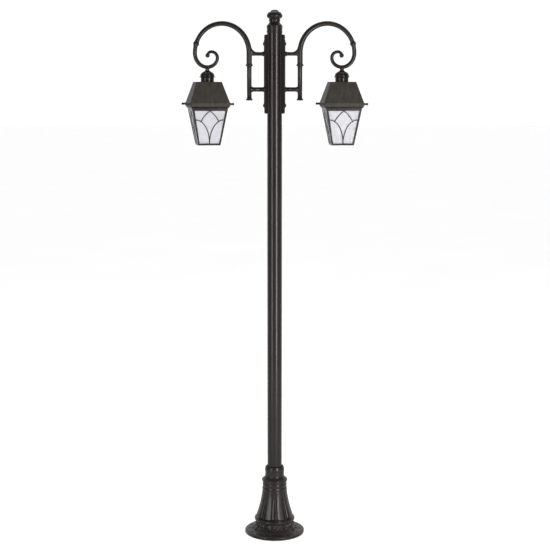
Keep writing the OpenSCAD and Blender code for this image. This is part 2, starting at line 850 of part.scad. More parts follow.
strap_t = 2.5;
strap_half = 52;
strap_w = 24;
drop_r = 8;
holder_r = 20;
holder_h = 46;
holder_top_z = lantern_top_z - 68;
lamp_low_z = holder_top_z - holder_h - 78;
lamp_mid_z = lamp_low_z + lamp_r;
lamp_neck_r = 12;

module lamp_bracket() {
    top = lantern_top_z - roof_wall;
    color(steel) difference() {
        union() {
            translate([-strap_half, -strap_w / 2, top - strap_t]) cube([2 * strap_half, strap_w, strap_t]);
            translate([0, 0, holder_top_z]) cylinder(r = drop_r, h = top - holder_top_z - 1);
        }
        translate([0, 0, holder_top_z - cut]) cylinder(r = drop_r - 1.5, h = roof_h);
        for (side = [-1, 1])
            translate([side * (roof_screw_at + 8), 0, top - 2 * strap_t])
                cylinder(r = roof_screw_r + 0.1, h = 4 * strap_t);
    }
}

module lampholder() {
    color(porcelain) translate([0, 0, holder_top_z - holder_h]) rotate_extrude() difference() {
        union() {
            square_ring(0, holder_r, 0, holder_h - 6);
            square_ring(0, holder_r - 5, 0, holder_h);
            square_ring(0, holder_r + 1.5, 6, 5);
        }
        translate([0, -cut]) square([lamp_neck_r + 2, 30 + cut]);
    }
}

module lamp() {
    color(frosted) rotate_extrude() difference() {
        union() {
            translate([0, lamp_mid_z]) circle(r = lamp_r);
            polygon([[0, lamp_mid_z], [lamp_r * 0.87, lamp_mid_z + lamp_r / 2],
                [lamp_neck_r + 1, holder_top_z - holder_h - 2], [0, holder_top_z - holder_h - 2]]);
            square_ring(0, lamp_neck_r + 1, holder_top_z - holder_h - 3, 30);
            square_ring(0, 5, holder_top_z - holder_h + 20, 9.9);
        }
        translate([-2 * lamp_r, lamp_low_z - cut]) square([2 * lamp_r, 300]);
    }
}

// ---- Glazed body ----------------------------------------------------------

gallery_half = eave_half - 3;
gallery_h = 7.5;
gallery_top_z = skirt_low_z - face_gap;
body_top_z = gallery_top_z - gallery_h;
body_foot_z = body_top_z - body_h;
frame_wall = 3;
body_slope = (body_top_half - body_foot_half) / body_h;
body_tilt = atan(body_slope);
wall_run = frame_wall / cos(body_tilt);
rail_h = 13;
foot_rail_h = 9;
window_top_half = body_top_half - 13.5;
window_foot_half = body_foot_half - 7;
floor_ledge = 3;
floor_t = 3;
lug_t = 4;
lug_y_half = 6;
lug_h = 20;

function body_half(z) = body_foot_half + (z - body_foot_z) * body_slope;

// Carries its children onto wall k of the glazed body: X along the wall,
// Y into the lantern, Z up the slope from the foot
module on_wall(k) {
    rotate([0, 0, 90 * k]) translate([0, -body_foot_half, body_foot_z])
        rotate([body_tilt, 0, 0]) children();
}

// A flat plate in a wall's own frame, from an outline in X and Z
module wall_plate(depth, thick) {
    translate([0, depth + thick, 0]) rotate([90, 0, 0]) linear_extrude(thick) children();
}

slope_h = body_h / cos(body_tilt);
window_low = foot_rail_h / cos(body_tilt);
window_high = slope_h - rail_h / cos(body_tilt);

module window_outline() {
    polygon([[-window_foot_half, window_low], [window_foot_half, window_low],
        [window_top_half, window_high], [-window_top_half, window_high]]);
}

module lantern_frame() {
    color(bronze) difference() {
        union() {
            square_tower([[body_foot_half, body_foot_z], [body_top_half, body_top_z],
                [gallery_half, body_top_z], [gallery_half, gallery_top_z]]);
            for (sx = [-1, 1]) for (sy = [-1, 1])
                translate([sx * (eave_half - roof_wall - 2.5) - (sx > 0 ? lug_t : 0),
                    sy * screw_y - lug_y_half, gallery_top_z - 1])
                    cube([lug_t, 2 * lug_y_half, lug_h]);
            hinge_knuckle(-knuckle_in, knuckle_in);
            translate([-knuckle_in, gallery_half - 1, body_top_z])
                cube([2 * knuckle_in, hinge_y - gallery_half + 1, gallery_h]);
        }
        square_tower([[body_half(body_foot_z + floor_ledge) - wall_run, body_foot_z + floor_ledge],
            [body_top_half - wall_run, body_top_z], [body_top_half - wall_run, gallery_top_z + cut]]);
        square_block(body_foot_half - 12, body_foot_z - cut, body_foot_z + 2 * floor_ledge);
        for (k = [0 : 3]) on_wall(k) wall_plate(-8, 16) window_outline();
        translate([-knuckle_in - cut, hinge_y, hinge_z])
            rotate([0, 90, 0]) cylinder(r = hinge_pin_r + run_gap, h = 2 * (knuckle_in + cut));
    }
}

pane_foot = (floor_ledge + floor_t) / cos(body_tilt) + 0.5;
pane_top = slope_h - 3;

module pane_outline(inset) {
    slope = (body_top_half - body_foot_half) / slope_h;
    low = body_foot_half + slope * pane_foot - inset;
    high = body_foot_half + slope * pane_top - inset;
    polygon([[-low, pane_foot], [low, pane_foot], [high, pane_top], [-high, pane_top]]);
}

module glass_panes() {
    color(frosted) for (k = [0 : 3]) on_wall(k)
        wall_plate(frame_wall + 0.05, glass_t)
            pane_outline(k % 2 == 0 ? wall_run + 0.4 : wall_run + glass_t + 1);
}

module floor_plate() {
    half = body_half(body_foot_z + floor_ledge) - wall_run - 0.3;
    color(bronze) difference() {
        square_block(half, body_foot_z + floor_ledge, body_foot_z + floor_ledge + floor_t);
        for (k = [0 : 5]) rotate([0, 0, 60 * k])
            translate([22, 0, body_foot_z]) cylinder(r = 3, h = 4 * floor_t);
    }
}

// Strips that hold the panes' feet and tops against the frame
bead_t = 3;

module glazing_beads() {
    depth = frame_wall + glass_t + 0.1;
    color(bronze) for (k = [0 : 3]) on_wall(k) {
        wall_plate(depth, bead_t) polygon([[-40, pane_foot + 1.2], [40, pane_foot + 1.2],
            [40, pane_foot + 6], [-40, pane_foot + 6]]);
        wall_plate(depth, bead_t) polygon([[-60, window_high + 3], [60, window_high + 3],
            [60, window_high + 8], [-60, window_high + 8]]);
    }
}

// ---- Tracery on the panes -------------------------------------------------

tracery_t = 2.4;
window_h = window_high - window_low;
node_share = 0.343;
node_half = 0.6 * window_top_half;
spring_share = 0.277;
leg_bulge = 4.5;
tracery_steps = 12;

function window_half(h) =
    window_foot_half + (window_top_half - window_foot_half) * (h - window_low) / window_h;

// From the window's top point out to the node, a shallow bow
function leg_point(s) =
    let (a = [0, window_high], b = [node_half, window_high - node_share * window_h],
        d = b - a, n = [-d[1], d[0]] / norm(d))
    a + d * s + n * leg_bulge * 4 * s * (1 - s);

// From the window's side in and down to its foot, a quarter ellipse
function sweep_point(s) =
    let (spring_h = window_high - spring_share * window_h, edge = window_half(spring_h))
    [edge * (1 - sin(90 * s)), window_low + (spring_h - window_low) * cos(90 * s)];

function strip_side(points, offset_by) = [for (k = [0 : len(points) - 1])
    let (t = along(points, k)) points[k] + [-t[1], t[0]] * offset_by];

function reversed(list) = [for (k = [len(list) - 1 : -1 : 0]) list[k]];

module strip(points) {
    polygon(concat(strip_side(points, tracery_w / 2), reversed(strip_side(points, -tracery_w / 2))));
}

module tracery_outline() {
    steps = [for (k = [0 : tracery_steps]) k / tracery_steps];
    intersection() {
        window_outline();
        union() {
            strip([for (s = steps) leg_point(s)]);
            strip([for (s = steps) sweep_point(s)]);
            mirror([1, 0]) strip([for (s = steps) leg_point(s)]);
            mirror([1, 0]) strip([for (s = steps) sweep_point(s)]);
        }
    }
}

module tracery() {
    color(bronze) for (k = [0 : 3]) on_wall(k)
        wall_plate(frame_wall - tracery_t, tracery_t) tracery_outline();
}

// ---- Thumb screws ---------------------------------------------------------

thumb_l = 22;
thumb_root_r = 5.5;
thumb_neck_r = 3;
thumb_tip_r = 4.4;

// A turned knob with its shank, along X from the roof's skirt
module thumb_screw_shape() {
    rotate([0, 90, 0]) rotate_extrude() difference() {
        union() {
            square_ring(0, screw_hole_r - run_gap, -roof_wall - 2.2, roof_wall + 3);
            square_ring(0, thumb_root_r, 0.1, 2);
            polygon([[0, 1], [thumb_root_r, 2.1], [thumb_neck_r + 0.4, 6], [thumb_neck_r, 10],
                [thumb_neck_r + 0.6, 14], [0, 16]]);
            translate([0, thumb_l - thumb_tip_r]) circle(r = thumb_tip_r);
            square_ring(0, thumb_neck_r, 10, thumb_l - thumb_tip_r - 10);
        }
        translate([-50, -20]) square([50, 80]);
    }
}

// Screws 1 and 2 are at the front, 3 and 4 at the back
module thumb_screw(k) {
    sx = k % 2 == 1 ? -1 : 1;
    sy = k <= 2 ? -1 : 1;
    color(bronze) translate([sx * eave_half, sy * screw_y, screw_z])
        rotate([0, 0, sx < 0 ? 180 : 0]) thumb_screw_shape();
}

module saddle_bolts() {
    color(bronze) for (z = bolt_heights) {
        translate([-saddle_out, 0, z]) rotate([0, 90, 0])
            cylinder(r = bolt_r, h = 2 * saddle_out + 2.5);
        translate([-saddle_out, 0, z]) mirror([1, 0, 0]) rotate([0, 90, 0]) dome(0);
        translate([saddle_out, 0, z]) rotate([0, 90, 0]) dome(bolt_r + 0.05);
    }
}

// A low domed head or nut; bore is the radius of a nut's blind hole
module dome(bore) {
    ball = (bolt_head_r * bolt_head_r + bolt_head_h * bolt_head_h) / (2 * bolt_head_h);
    rotate_extrude() difference() {
        intersection() {
            translate([0, bolt_head_h - ball]) circle(r = ball);
            square([bolt_head_r, bolt_head_h]);
        }
        if (bore > 0) translate([0, -cut]) square([bore, cut + 2.7]);
    }
}

// ---- Nodes ----------------------------------------------------------------

base_casting();
base_collar();
set_screws();
post_tube();
tube_grommet();
terminal_bracket();
terminal_screws();
terminal_block();
earth_stud();
post_cap();
finial();
finial_stud();
saddle_bolts();
arm_saddle(LEFT);  // left_arm_saddle
arm_lower_bar(LEFT);  // left_arm_lower_bar
arm_upright(LEFT);  // left_arm_upright
scroll_arm(LEFT);  // left_scroll_arm
arm_foot_cap(LEFT);  // left_arm_foot_cap
swivel_stem(LEFT);  // left_swivel_stem
stem_nut(LEFT);  // left_stem_nut
arm_saddle(RIGHT);  // right_arm_saddle
arm_lower_bar(RIGHT);  // right_arm_lower_bar
arm_upright(RIGHT);  // right_arm_upright
scroll_arm(RIGHT);  // right_scroll_arm
arm_foot_cap(RIGHT);  // right_arm_foot_cap
swivel_stem(RIGHT);  // right_swivel_stem
stem_nut(RIGHT);  // right_stem_nut
place_lantern(LEFT, left_turn) lantern_cap();  // left_lantern_cap
place_lantern(LEFT, left_turn) lantern_roof();  // left_lantern_roof
place_lantern(LEFT, left_turn) roof_screws();  // left_roof_screws
place_lantern(LEFT, left_turn) hinge_pin();  // left_hinge_pin
place_lantern(LEFT, left_turn) lamp_bracket();  // left_lamp_bracket
place_lantern(LEFT, left_turn) lampholder();  // left_lampholder
place_lantern(LEFT, left_turn) lamp();  // left_lamp
place_lantern(LEFT, left_turn) lantern_frame();  // left_lantern_frame
place_lantern(LEFT, left_turn) glass_panes();  // left_glass_panes
place_lantern(LEFT, left_turn) tracery();  // left_tracery
place_lantern(LEFT, left_turn) floor_plate();  // left_floor_plate
place_lantern(LEFT, left_turn) glazing_beads();  // left_glazing_beads
place_lantern(LEFT, left_turn) thumb_screw(1);  // left_thumb_screw_1
place_lantern(LEFT, left_turn) thumb_screw(2);  // left_thumb_screw_2
place_lantern(LEFT, left_turn) thumb_screw(3);  // left_thumb_screw_3
place_lantern(LEFT, left_turn) thumb_screw(4);  // left_thumb_screw_4
place_lantern(RIGHT, right_turn) lantern_cap();  // right_lantern_cap
place_lantern(RIGHT, right_turn) lantern_roof();  // right_lantern_roof
place_lantern(RIGHT, right_turn) roof_screws();  // right_roof_screws
place_lantern(RIGHT, right_turn) hinge_pin();  // right_hinge_pin
place_lantern(RIGHT, right_turn) lamp_bracket();  // right_lamp_bracket
place_lantern(RIGHT, right_turn) lampholder();  // right_lampholder
place_lantern(RIGHT, right_turn) lamp();  // right_lamp
place_lantern(RIGHT, right_turn) lantern_frame();  // right_lantern_frame
place_lantern(RIGHT, right_turn) glass_panes();  // right_glass_panes
place_lantern(RIGHT, right_turn) tracery();  // right_tracery
place_lantern(RIGHT, right_turn) floor_plate();  // right_floor_plate
place_lantern(RIGHT, right_turn) glazing_beads();  // right_glazing_beads
place_lantern(RIGHT, right_turn) thumb_screw(1);  // right_thumb_screw_1
place_lantern(RIGHT, right_turn) thumb_screw(2);  // right_thumb_screw_2
place_lantern(RIGHT, right_turn) thumb_screw(3);  // right_thumb_screw_3
place_lantern(RIGHT, right_turn) thumb_screw(4);  // right_thumb_screw_4
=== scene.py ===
# %% [markdown]
# # A street lamp post with two hanging lanterns
# The measured parts of the lamp post come packed from its CAD model and stay where they are. This
# lesson dresses them: the plain solids that show are swapped for smooth castings with their mouldings,
# petals and leaves, and every piece gets a finish worked out by shader nodes. All shapes are written in
# millimetres, in the frame of the CAD model, and turned into metres when a mesh is made.

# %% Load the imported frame
import json
import math

import bpy
import numpy as np
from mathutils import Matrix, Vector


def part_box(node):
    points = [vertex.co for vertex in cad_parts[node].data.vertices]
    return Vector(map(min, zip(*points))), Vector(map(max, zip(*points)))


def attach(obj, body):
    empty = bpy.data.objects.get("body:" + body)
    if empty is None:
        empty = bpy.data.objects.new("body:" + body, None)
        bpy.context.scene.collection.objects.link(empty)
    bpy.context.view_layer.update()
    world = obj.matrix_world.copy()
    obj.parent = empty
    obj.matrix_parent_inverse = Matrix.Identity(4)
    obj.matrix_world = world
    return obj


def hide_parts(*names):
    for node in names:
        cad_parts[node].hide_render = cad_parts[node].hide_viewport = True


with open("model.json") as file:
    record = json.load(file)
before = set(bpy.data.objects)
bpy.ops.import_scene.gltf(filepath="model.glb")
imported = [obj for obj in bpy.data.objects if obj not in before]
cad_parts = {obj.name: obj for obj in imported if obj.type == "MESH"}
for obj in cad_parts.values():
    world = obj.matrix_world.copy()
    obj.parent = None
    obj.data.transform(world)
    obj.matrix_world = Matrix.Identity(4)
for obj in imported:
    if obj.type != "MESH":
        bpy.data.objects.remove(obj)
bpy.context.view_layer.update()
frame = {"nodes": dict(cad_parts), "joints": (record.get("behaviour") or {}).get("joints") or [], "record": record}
MM = 0.001


# %% [markdown]
# ## Reading places from the frame
# A dressed piece has to sit exactly where its plain solid sits. The heights and middles of the solids
# could be typed in again, but then a change in the CAD model would leave the dressed piece behind, so
# they are measured from the nodes' boxes and from the joints.

# %% Boxes and joints in millimetres
def span(node):
    """Lowest and highest corner of a CAD node's box, in millimetres."""
    low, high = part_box(node)
    return np.array(low) / MM, np.array(high) / MM


def joint(name):
    """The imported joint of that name."""
    return next(j for j in frame["joints"] if j["name"] == name)


SIDES = {"left": -1, "right": 1}
tube_low, tube_high = span("post_tube")
tube_r = tube_high[0]
print("the tube is", round(2 * tube_r, 1), "mm across")

# %% [markdown]
# ## Outlines
# A moulding is drawn the way a pattern maker draws it: straight runs and corners, each corner eased
# with its own radius. Typing the points of every arc would be long and hard to change, so one function
# takes the corners and works the arcs out. It adds a guard point just outside each arc. Without it,
# smooth shading would bend the flat beside the arc as well.


# %% Corners eased with arcs
ARC_STEPS = 5


def rounded(corners, closed=False, steps=ARC_STEPS):
    """A line through corners of (across, up, radius). With a and b the directions to the neighbours,
    the arc's middle lies on their bisector, and the arc turns from one side's tangent point to the
    other's by spherical interpolation."""
    place = np.array([c[:2] for c in corners], float)
    count = len(place)
    line = []
    for k, corner in enumerate(corners):
        here = place[k]
        radius = corner[2] if len(corner) > 2 else 0
        if radius <= 0 or (not closed and k in (0, count - 1)):
            line.append([here])
            continue
        before, after = place[k - 1] - here, place[(k + 1) % count] - here
        long_a, long_b = np.linalg.norm(before), np.linalg.norm(after)
        a, b = before / long_a, after / long_b
        half = math.acos(np.clip(a @ b, -1, 1)) / 2
        turn = math.pi - 2 * half
        if turn < 0.02:
            line.append([here])
            continue
        reach = min(radius / math.tan(half), 0.47 * long_a, 0.47 * long_b)
        middle = here + (a + b) / np.linalg.norm(a + b) * reach / math.cos(half)
        t = np.linspace(0, 1, steps + 1)[:, None]
        arc = middle + (
            np.sin((1 - t) * turn) * (here + a * reach - middle)
            + np.sin(t * turn) * (here + b * reach - middle)
        ) / math.sin(turn)
        guard_a, guard_b = min(0.5, 0.02 * long_a), min(0.5, 0.02 * long_b)
        line += [[here + a * (reach + guard_a)], arc, [here + b * (reach + guard_b)]]
    return np.concatenate(line)


def evenly(line, count):
    """The same line cut into count points at equal steps along its length."""
    step = np.linalg.norm(np.diff(line, axis=0), axis=1)
    along = np.concatenate([[0], np.cumsum(step)])
    at = np.linspace(0, along[-1], count)
    return np.stack([np.interp(at, along, line[:, k]) for k in range(line.shape[1])], -1)


print("a right angle eased by 2 mm has", len(rounded([(0, 0), (9, 0, 2), (9, 9)])), "points")

# %% [markdown]
# ## From a grid of points to a closed skin
# Nearly every piece here is a grid: an outline turned round an axis, or a section carried along a path.
# Such a grid has rows and columns, its columns join up in a ring, and its ends are either capped or
# joined as well. Blender could spin or screw each outline with a modifier, but worked out with numpy
# the whole surface is one array, so petals and ripples can be added to it before it becomes a mesh.


# %% Skins
def outward(points, quads, tris):
    """The same skin with its faces turned outwards: the sum of the faces' signed volumes is positive."""
    fans = np.concatenate([quads[:, :3], quads[:, [0, 2, 3]], tris])
    a, b, c = (points[fans[:, k]] for k in range(3))
    if np.einsum("ij,ij->", a - points[0], np.cross(b - points[0], c - points[0])) < 0:
        quads, tris = quads[:, ::-1], tris[:, ::-1]
    return points, quads, tris


def skin(grid, ring=False, ends=None):
    """Faces between the rows of a grid (rows, columns, 3) whose columns wrap round. As a ring its last
    row joins the first; otherwise each end row is closed by a fan to a point, by default its middle."""
    rows, columns = grid.shape[:2]
    index = np.arange(rows * columns).reshape(rows, columns)
    low = index if ring else index[:-1]
    high = np.roll(index, -1, 0) if ring else index[1:]
    quads = np.stack([low, np.roll(low, -1, 1), np.roll(high, -1, 1), high], -1).reshape(-1, 4)
    points = grid.reshape(-1, 3)
    tris = np.zeros((0, 3), int)
    if not ring:
        ends = [grid[0].mean(0), grid[-1].mean(0)] if ends is None else ends
        tip = np.full(columns, rows * columns)
        first = np.stack([np.roll(index[0], -1), index[0], tip], -1)
        last = np.stack([index[-1], np.roll(index[-1], -1), tip + 1], -1)
        points = np.concatenate([points, np.array(ends, float)])
        tris = np.concatenate([first, last])
    return outward(points, quads, tris)


def placed(shape, matrix=None, shift=(0, 0, 0)):
    """The skin with its points multiplied by a 3 by 3 matrix and then shifted."""
    points, quads, tris = shape
    if matrix is not None:
        points = points @ np.array(matrix, float).T
    return outward(points + np.array(shift, float), quads, tris)


ALONG_X = [[0, 0, 1], [0, 1, 0], [-1, 0, 0]]
MIRROR_X = [[-1, 0, 0], [0, 1, 0], [0, 0, 1]]


def about_z(degrees):
    """The matrix of a turn about the upright axis."""
    c, s = math.cos(math.radians(degrees)), math.sin(math.radians(degrees))
    return [[c, -s, 0], [s, c, 0], [0, 0, 1]]


# %% Turned, squared and carried shapes
def turned(outline, middle=(0, 0), sides=96):
    """An outline of (radius, height) turned round an upright axis: x = radius cos a, y = radius sin a.
    An outline that starts and ends on the axis makes a solid, any other is a closed ring."""
    line = np.array(outline, float)
    solid = line[0, 0] < 1e-6 and line[-1, 0] < 1e-6
    body = line[1:-1] if solid else line
    a = np.linspace(0, 2 * np.pi, sides, endpoint=False)
    grid = np.empty((len(body), sides, 3))
    grid[..., 0] = middle[0] + body[:, :1] * np.cos(a)
    grid[..., 1] = middle[1] + body[:, :1] * np.sin(a)
    grid[..., 2] = body[:, 1:]
    poles = [(middle[0], middle[1], line[k, 1]) for k in (0, -1)] if solid else None
    return skin(grid, ring=not solid, ends=poles)


def squared(levels, steps=5):
    """Levels of (half width, height, corner radius) carried round a square with eased corners, as a
    closed ring: each corner is a quarter circle about (half - radius, half - radius)."""
    level = np.array(levels, float)
    a = np.linspace(0, np.pi / 2, steps + 1)
    guard = 0.02 * level[:, :1]
    quarter = []
    for k in range(4):
        sx, sy = [(1, 1), (-1, 1), (-1, -1), (1, -1)][k]
        turn = a + k * np.pi / 2
        centre = level[:, :1] - level[:, 2:3]
        x = sx * centre + level[:, 2:3] * np.cos(turn)
        y = sy * centre + level[:, 2:3] * np.sin(turn)
        out_x, out_y = np.sin(turn[[0, -1]]), -np.cos(turn[[0, -1]])
        x = np.concatenate([x[:, :1] + guard * out_x[0], x, x[:, -1:] - guard * out_x[1]], 1)
        y = np.concatenate([y[:, :1] + guard * out_y[0], y, y[:, -1:] - guard * out_y[1]], 1)
        quarter.append(np.stack([x, y, np.broadcast_to(level[:, 1:2], x.shape)], -1))
    return skin(np.concatenate(quarter, 1), ring=True)


def carried(path, across, up, section, size=1.0):
    """A closed section of (across, up) offsets carried along a path: point = path + across * s0 + up
    * s1, with across and up one direction for each point of the path."""
    s = np.asarray(section, float)
    s = s if s.ndim == 3 else np.broadcast_to(s, (len(path),) + s.shape)
    s = s * np.reshape(np.broadcast_to(size, len(path)), (-1, 1, 1))
    grid = path[:, None] + across[:, None] * s[..., :1] + up[:, None] * s[..., 1:]
    return skin(grid)


def headings(path):
    """Unit tangents of a path, from each point's two neighbours."""
    way = np.gradient(np.asarray(path, float), axis=0)
    return way / np.linalg.norm(way, axis=1, keepdims=True)


def circle(sides):
    """A unit circle as (across, up) offsets."""
    a = np.linspace(0, 2 * np.pi, sides, endpoint=False)
    return np.stack([np.cos(a), np.sin(a)], -1)


def block(low, high, ease):
    """A box with eased edges: each level is a rounded rectangle, drawn in by the cosine of a quarter
    turn at both ends."""
    low, high = np.array(low, float), np.array(high, float)
    middle, half = (low + high) / 2, (high - low) / 2 - ease
    t = np.linspace(0.15, np.pi / 2, 4)
    grow = np.concatenate([np.sin(t), np.sin(t)[::-1]]) * ease
    level = np.concatenate([-half[2] - ease * np.cos(t), half[2] + ease * np.cos(t)[::-1]])
    turn = np.linspace(0, 2 * np.pi, 20, endpoint=False) + np.pi / 20
    x = np.sign(np.cos(turn)) * half[0] + grow[:, None] * np.cos(turn)
    y = np.sign(np.sin(turn)) * half[1] + grow[:, None] * np.sin(turn)
    grid = np.stack([x, y, np.broadcast_to(level[:, None], x.shape)], -1)
    return skin(grid + middle)


print("a turned bead has", len(turned([(5, 0), (6, 1), (5, 2)], sides=24)[1]), "faces")

# %% [markdown]
# ## Shader maths in plain expressions
# A finish is a recipe such as "the roughness is 0.36 plus a little noise". In the node editor each plus
# and times is a node of its own, which is slow to read. Here a small class stands for a node's output
# and adds the Math node when two of them are added or multiplied, so the recipe reads as a formula.


# %% A signal and a finish
class Signal:
    """A node's output. Adding, subtracting or multiplying it adds a Math node."""

    def __init__(self, finish, socket):
        self.finish, self.socket = finish, socket

    def math(self, operation, a, b):
        """A Math node of that operation on two signals or numbers."""
        return self.finish.node("ShaderNodeMath", {"operation": operation}, {0: a, 1: b})

    def __add__(self, other):
        return self.math("ADD", self, other)

    def __sub__(self, other):
        return self.math("SUBTRACT", self, other)

    def __rsub__(self, other):
        return self.math("SUBTRACT", other, self)

    def __mul__(self, other):
        return self.math("MULTIPLY", self, other)

    __radd__, __rmul__ = __add__, __mul__


class Finish:
    """A material with one Principled shader and a way to add the nodes that feed it."""

    def __init__(self, name, colour, **settings):
        self.material = bpy.data.materials.new(name)
        self.material.use_nodes = True
        self.tree = self.material.node_tree
        self.tree.nodes.clear()
        self.shader = self.tree.nodes.new("ShaderNodeBsdfPrincipled")
        out = self.tree.nodes.new("ShaderNodeOutputMaterial")
        self.tree.links.new(self.shader.outputs[0], out.inputs["Surface"])
        self.material.diffuse_color = (*colour, 1)
        for socket, value in settings.items():
            self.shader.inputs[socket.replace("_", " ")].default_value = value
        self.place = self.node("ShaderNodeTexCoord", out="Object")

    def node(self, kind, settings=None, values=None, out=0):
        """Adds a node of a type, sets its settings, then its sockets' values or links."""
        made = self.tree.nodes.new(kind)
        for key, value in (settings or {}).items():
            setattr(made, key, value)
        for key, value in (values or {}).items():
            if isinstance(value, Signal):
                self.tree.links.new(value.socket, made.inputs[key])
            else:
                made.inputs[key].default_value = value
        return Signal(self, made.outputs[out])

    def noise(self, scale, detail=2.0, stretch=None):
        """Cloudy noise from 0 to 1, with scale in cells a metre; stretch squeezes it along X, Y, Z."""
        place = self.place
        if stretch is not None:
            place = self.node("ShaderNodeMapping", None, {"Vector": place, "Scale": stretch})
        values = {"Vector": place, "Scale": scale, "Detail": detail}
        return self.node("ShaderNodeTexNoise", None, values)

    def band(self, signal, low, high):
        """The signal stretched so that low becomes 0 and high becomes 1, clamped."""
        values = {"Value": signal, "From Min": low, "From Max": high}
        return self.node("ShaderNodeMapRange", None, values)

    def blend(self, share, a, b):
        """Colour a where share is 0 and colour b where it is 1."""
        values = {0: share, 6: a, 7: b}
        return self.node("ShaderNodeMix", {"data_type": "RGBA"}, values, out=2)

    def feed(self, **signals):
        """Links signals to the shader's sockets; a bump is a pair of a height and its depth in metres."""
        bump = signals.pop("bump", None)
        if bump is not None:
            height, depth = bump
            signals["Normal"] = self.node("ShaderNodeBump", None, {"Height": height, "Distance": depth})
        for socket, signal in signals.items():
            self.tree.links.new(signal.socket, self.shader.inputs[socket.replace("_", " ")])
        return self.material


def tone(red, green, blue):
    """A colour socket's value."""
    return (red, green, blue, 1.0)


# %% [markdown]
# ## The dark bronze coat
# The whole post wears one powder coat, nearly black with a warm bronze cast. Sprayed powder melts into
# a skin with a slight orange peel, so its gloss is broken up rather than mirror sharp. The castings
# below it are a little rough from the sand mould, the tube is smooth, and the folded sheet of the
# lantern roofs is duller, because it is coated thinly. One function makes all three from a few numbers.


# %% The coat on castings, tube and sheet
CLOUDS, STREAKS, DUST, PEEL, SAND = 7, 70, 60, 650, 180  # cells of each noise a metre
DUST_TONE, DUST_SHARE, COAT_DEPTH = tone(0.11, 0.1, 0.09), 0.1, 0.0004


def coat(name, dark, light, rough, peel, sand, gloss=0.17, streaks=None):
    """Colour: dark to light by clouds, with dust where the surface looks up. Roughness: rough plus
    clouds and dust. Height: peel times a fine noise for orange peel, plus sand times a coarser one.
    Gloss is the strength of the mirror image. With streaks the clouds are finer, and drawn out along
    the axis whose scale is small."""
    finish = Finish(name, light, Specular_IOR_Level=gloss)
    clouds = finish.band(finish.noise(CLOUDS if streaks is None else STREAKS, 4, streaks), 0.3, 0.7)
    faces = finish.node("ShaderNodeNewGeometry", out="Normal")
    upward = finish.node("ShaderNodeSeparateXYZ", None, {0: faces}, 2)
    dust = finish.band(upward, 0.5, 1.0) * finish.band(finish.noise(DUST, 3), 0.3, 0.8)
    base = finish.blend(clouds, tone(*dark), tone(*light))
    base = finish.blend(dust * DUST_SHARE, base, DUST_TONE)
    height = finish.noise(PEEL, 2) * peel + finish.noise(SAND, 3) * sand
    return finish.feed(
        Base_Color=base, Roughness=clouds * 0.06 + rough + dust * 0.15, bump=(height, COAT_DEPTH)
    )


bronze = {
    "cast_bronze_coat": ((0.0068, 0.0055, 0.0046), (0.011, 0.009, 0.0076), 0.25, 0.12, 0.1),
    "tube_bronze_coat": ((0.0068, 0.0056, 0.0049), (0.0092, 0.0077, 0.0068), 0.2, 0.05, 0.0),
    "sheet_bronze_coat": ((0.018, 0.0152, 0.0122), (0.028, 0.024, 0.0195), 0.5, 0.3, 0.1, 0.13,
                          (1, 1, 0.08)),
    "coated_bolts": ((0.014, 0.0115, 0.0095), (0.02, 0.0165, 0.014), 0.34, 0.2, 0.1),
}
finishes = {name: coat(name, *values) for name, values in bronze.items()}
print("coats:", ", ".join(finishes))

# %% [markdown]
# ## Frosted panes
# The panes let light through but hide the lamp. Real frosted glass is clear glass with a fine etched
# face, which a renderer can follow only with many samples. A pale body that lets part of the light
# through with a high roughness looks the same and stays calm, and slow clouds in its colour stand for
# the uneven etching.


# %% Glass, metals and the small parts
def frosted():
    """Colour: nearly white with cool clouds. Height: slow waves and a fine etch."""
    finish = Finish("frosted_glass", (0.78, 0.78, 0.81), IOR=1.45, Transmission_Weight=0.75)
    clouds = finish.band(finish.noise(22, 3), 0.35, 0.7)
    base = finish.blend(clouds, tone(0.64, 0.635, 0.675), tone(0.72, 0.715, 0.75))
    height = finish.noise(45, 2) + finish.noise(1500, 1) * 0.1
    return finish.feed(Base_Color=base, Roughness=clouds * 0.1 + 0.42, bump=(height, 0.0012))


def plain(name, dark, light, rough, scale, depth, metal=0.0, stretch=None):
    """Colour from dark to light by noise, roughness around rough, and a shallow height of that noise."""
    finish = Finish(name, light, Metallic=metal)
    grain = finish.noise(scale, 3, stretch)
    share = finish.band(grain, 0.3, 0.7)
    base = finish.blend(share, tone(*dark), tone(*light))
    return finish.feed(Base_Color=base, Roughness=share * 0.1 + rough, bump=(grain, depth))


small_parts = {
    "steel_parts": ((0.42, 0.42, 0.43), (0.55, 0.55, 0.56), 0.32, 300, 0.0002, 1.0, (1, 1, 0.2)),
    "steel_screws": ((0.035, 0.034, 0.033), (0.06, 0.058, 0.056), 0.42, 700, 0.0001, 0.6),
    "brass": ((0.5, 0.34, 0.12), (0.66, 0.47, 0.2), 0.3, 400, 0.0001, 1.0),
    "rubber": ((0.012, 0.012, 0.012), (0.025, 0.025, 0.024), 0.65, 260, 0.0003),
    "terminal_plastic": ((0.62, 0.6, 0.54), (0.72, 0.7, 0.65), 0.45, 90, 0.0002),
    "porcelain": ((0.74, 0.73, 0.69), (0.82, 0.81, 0.78), 0.15, 40, 0.0001),
    "lamp_bulb": ((0.8, 0.8, 0.78), (0.86, 0.86, 0.85), 0.3, 60, 0.0001),
}
finishes["frosted_glass"] = frosted()
for name, values in small_parts.items():
    finishes[name] = plain(name, *values)
print(len(finishes), "finishes in all")

# %% [markdown]
# ## Making a piece
# A finished piece is one object at the origin, with its place in its mesh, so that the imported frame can
# carry it by a body and its object coordinates stay still. The whole mesh is filled from arrays in one
# go, which is far quicker than adding faces one by one.


# %% From skins to a piece on its body
made = []


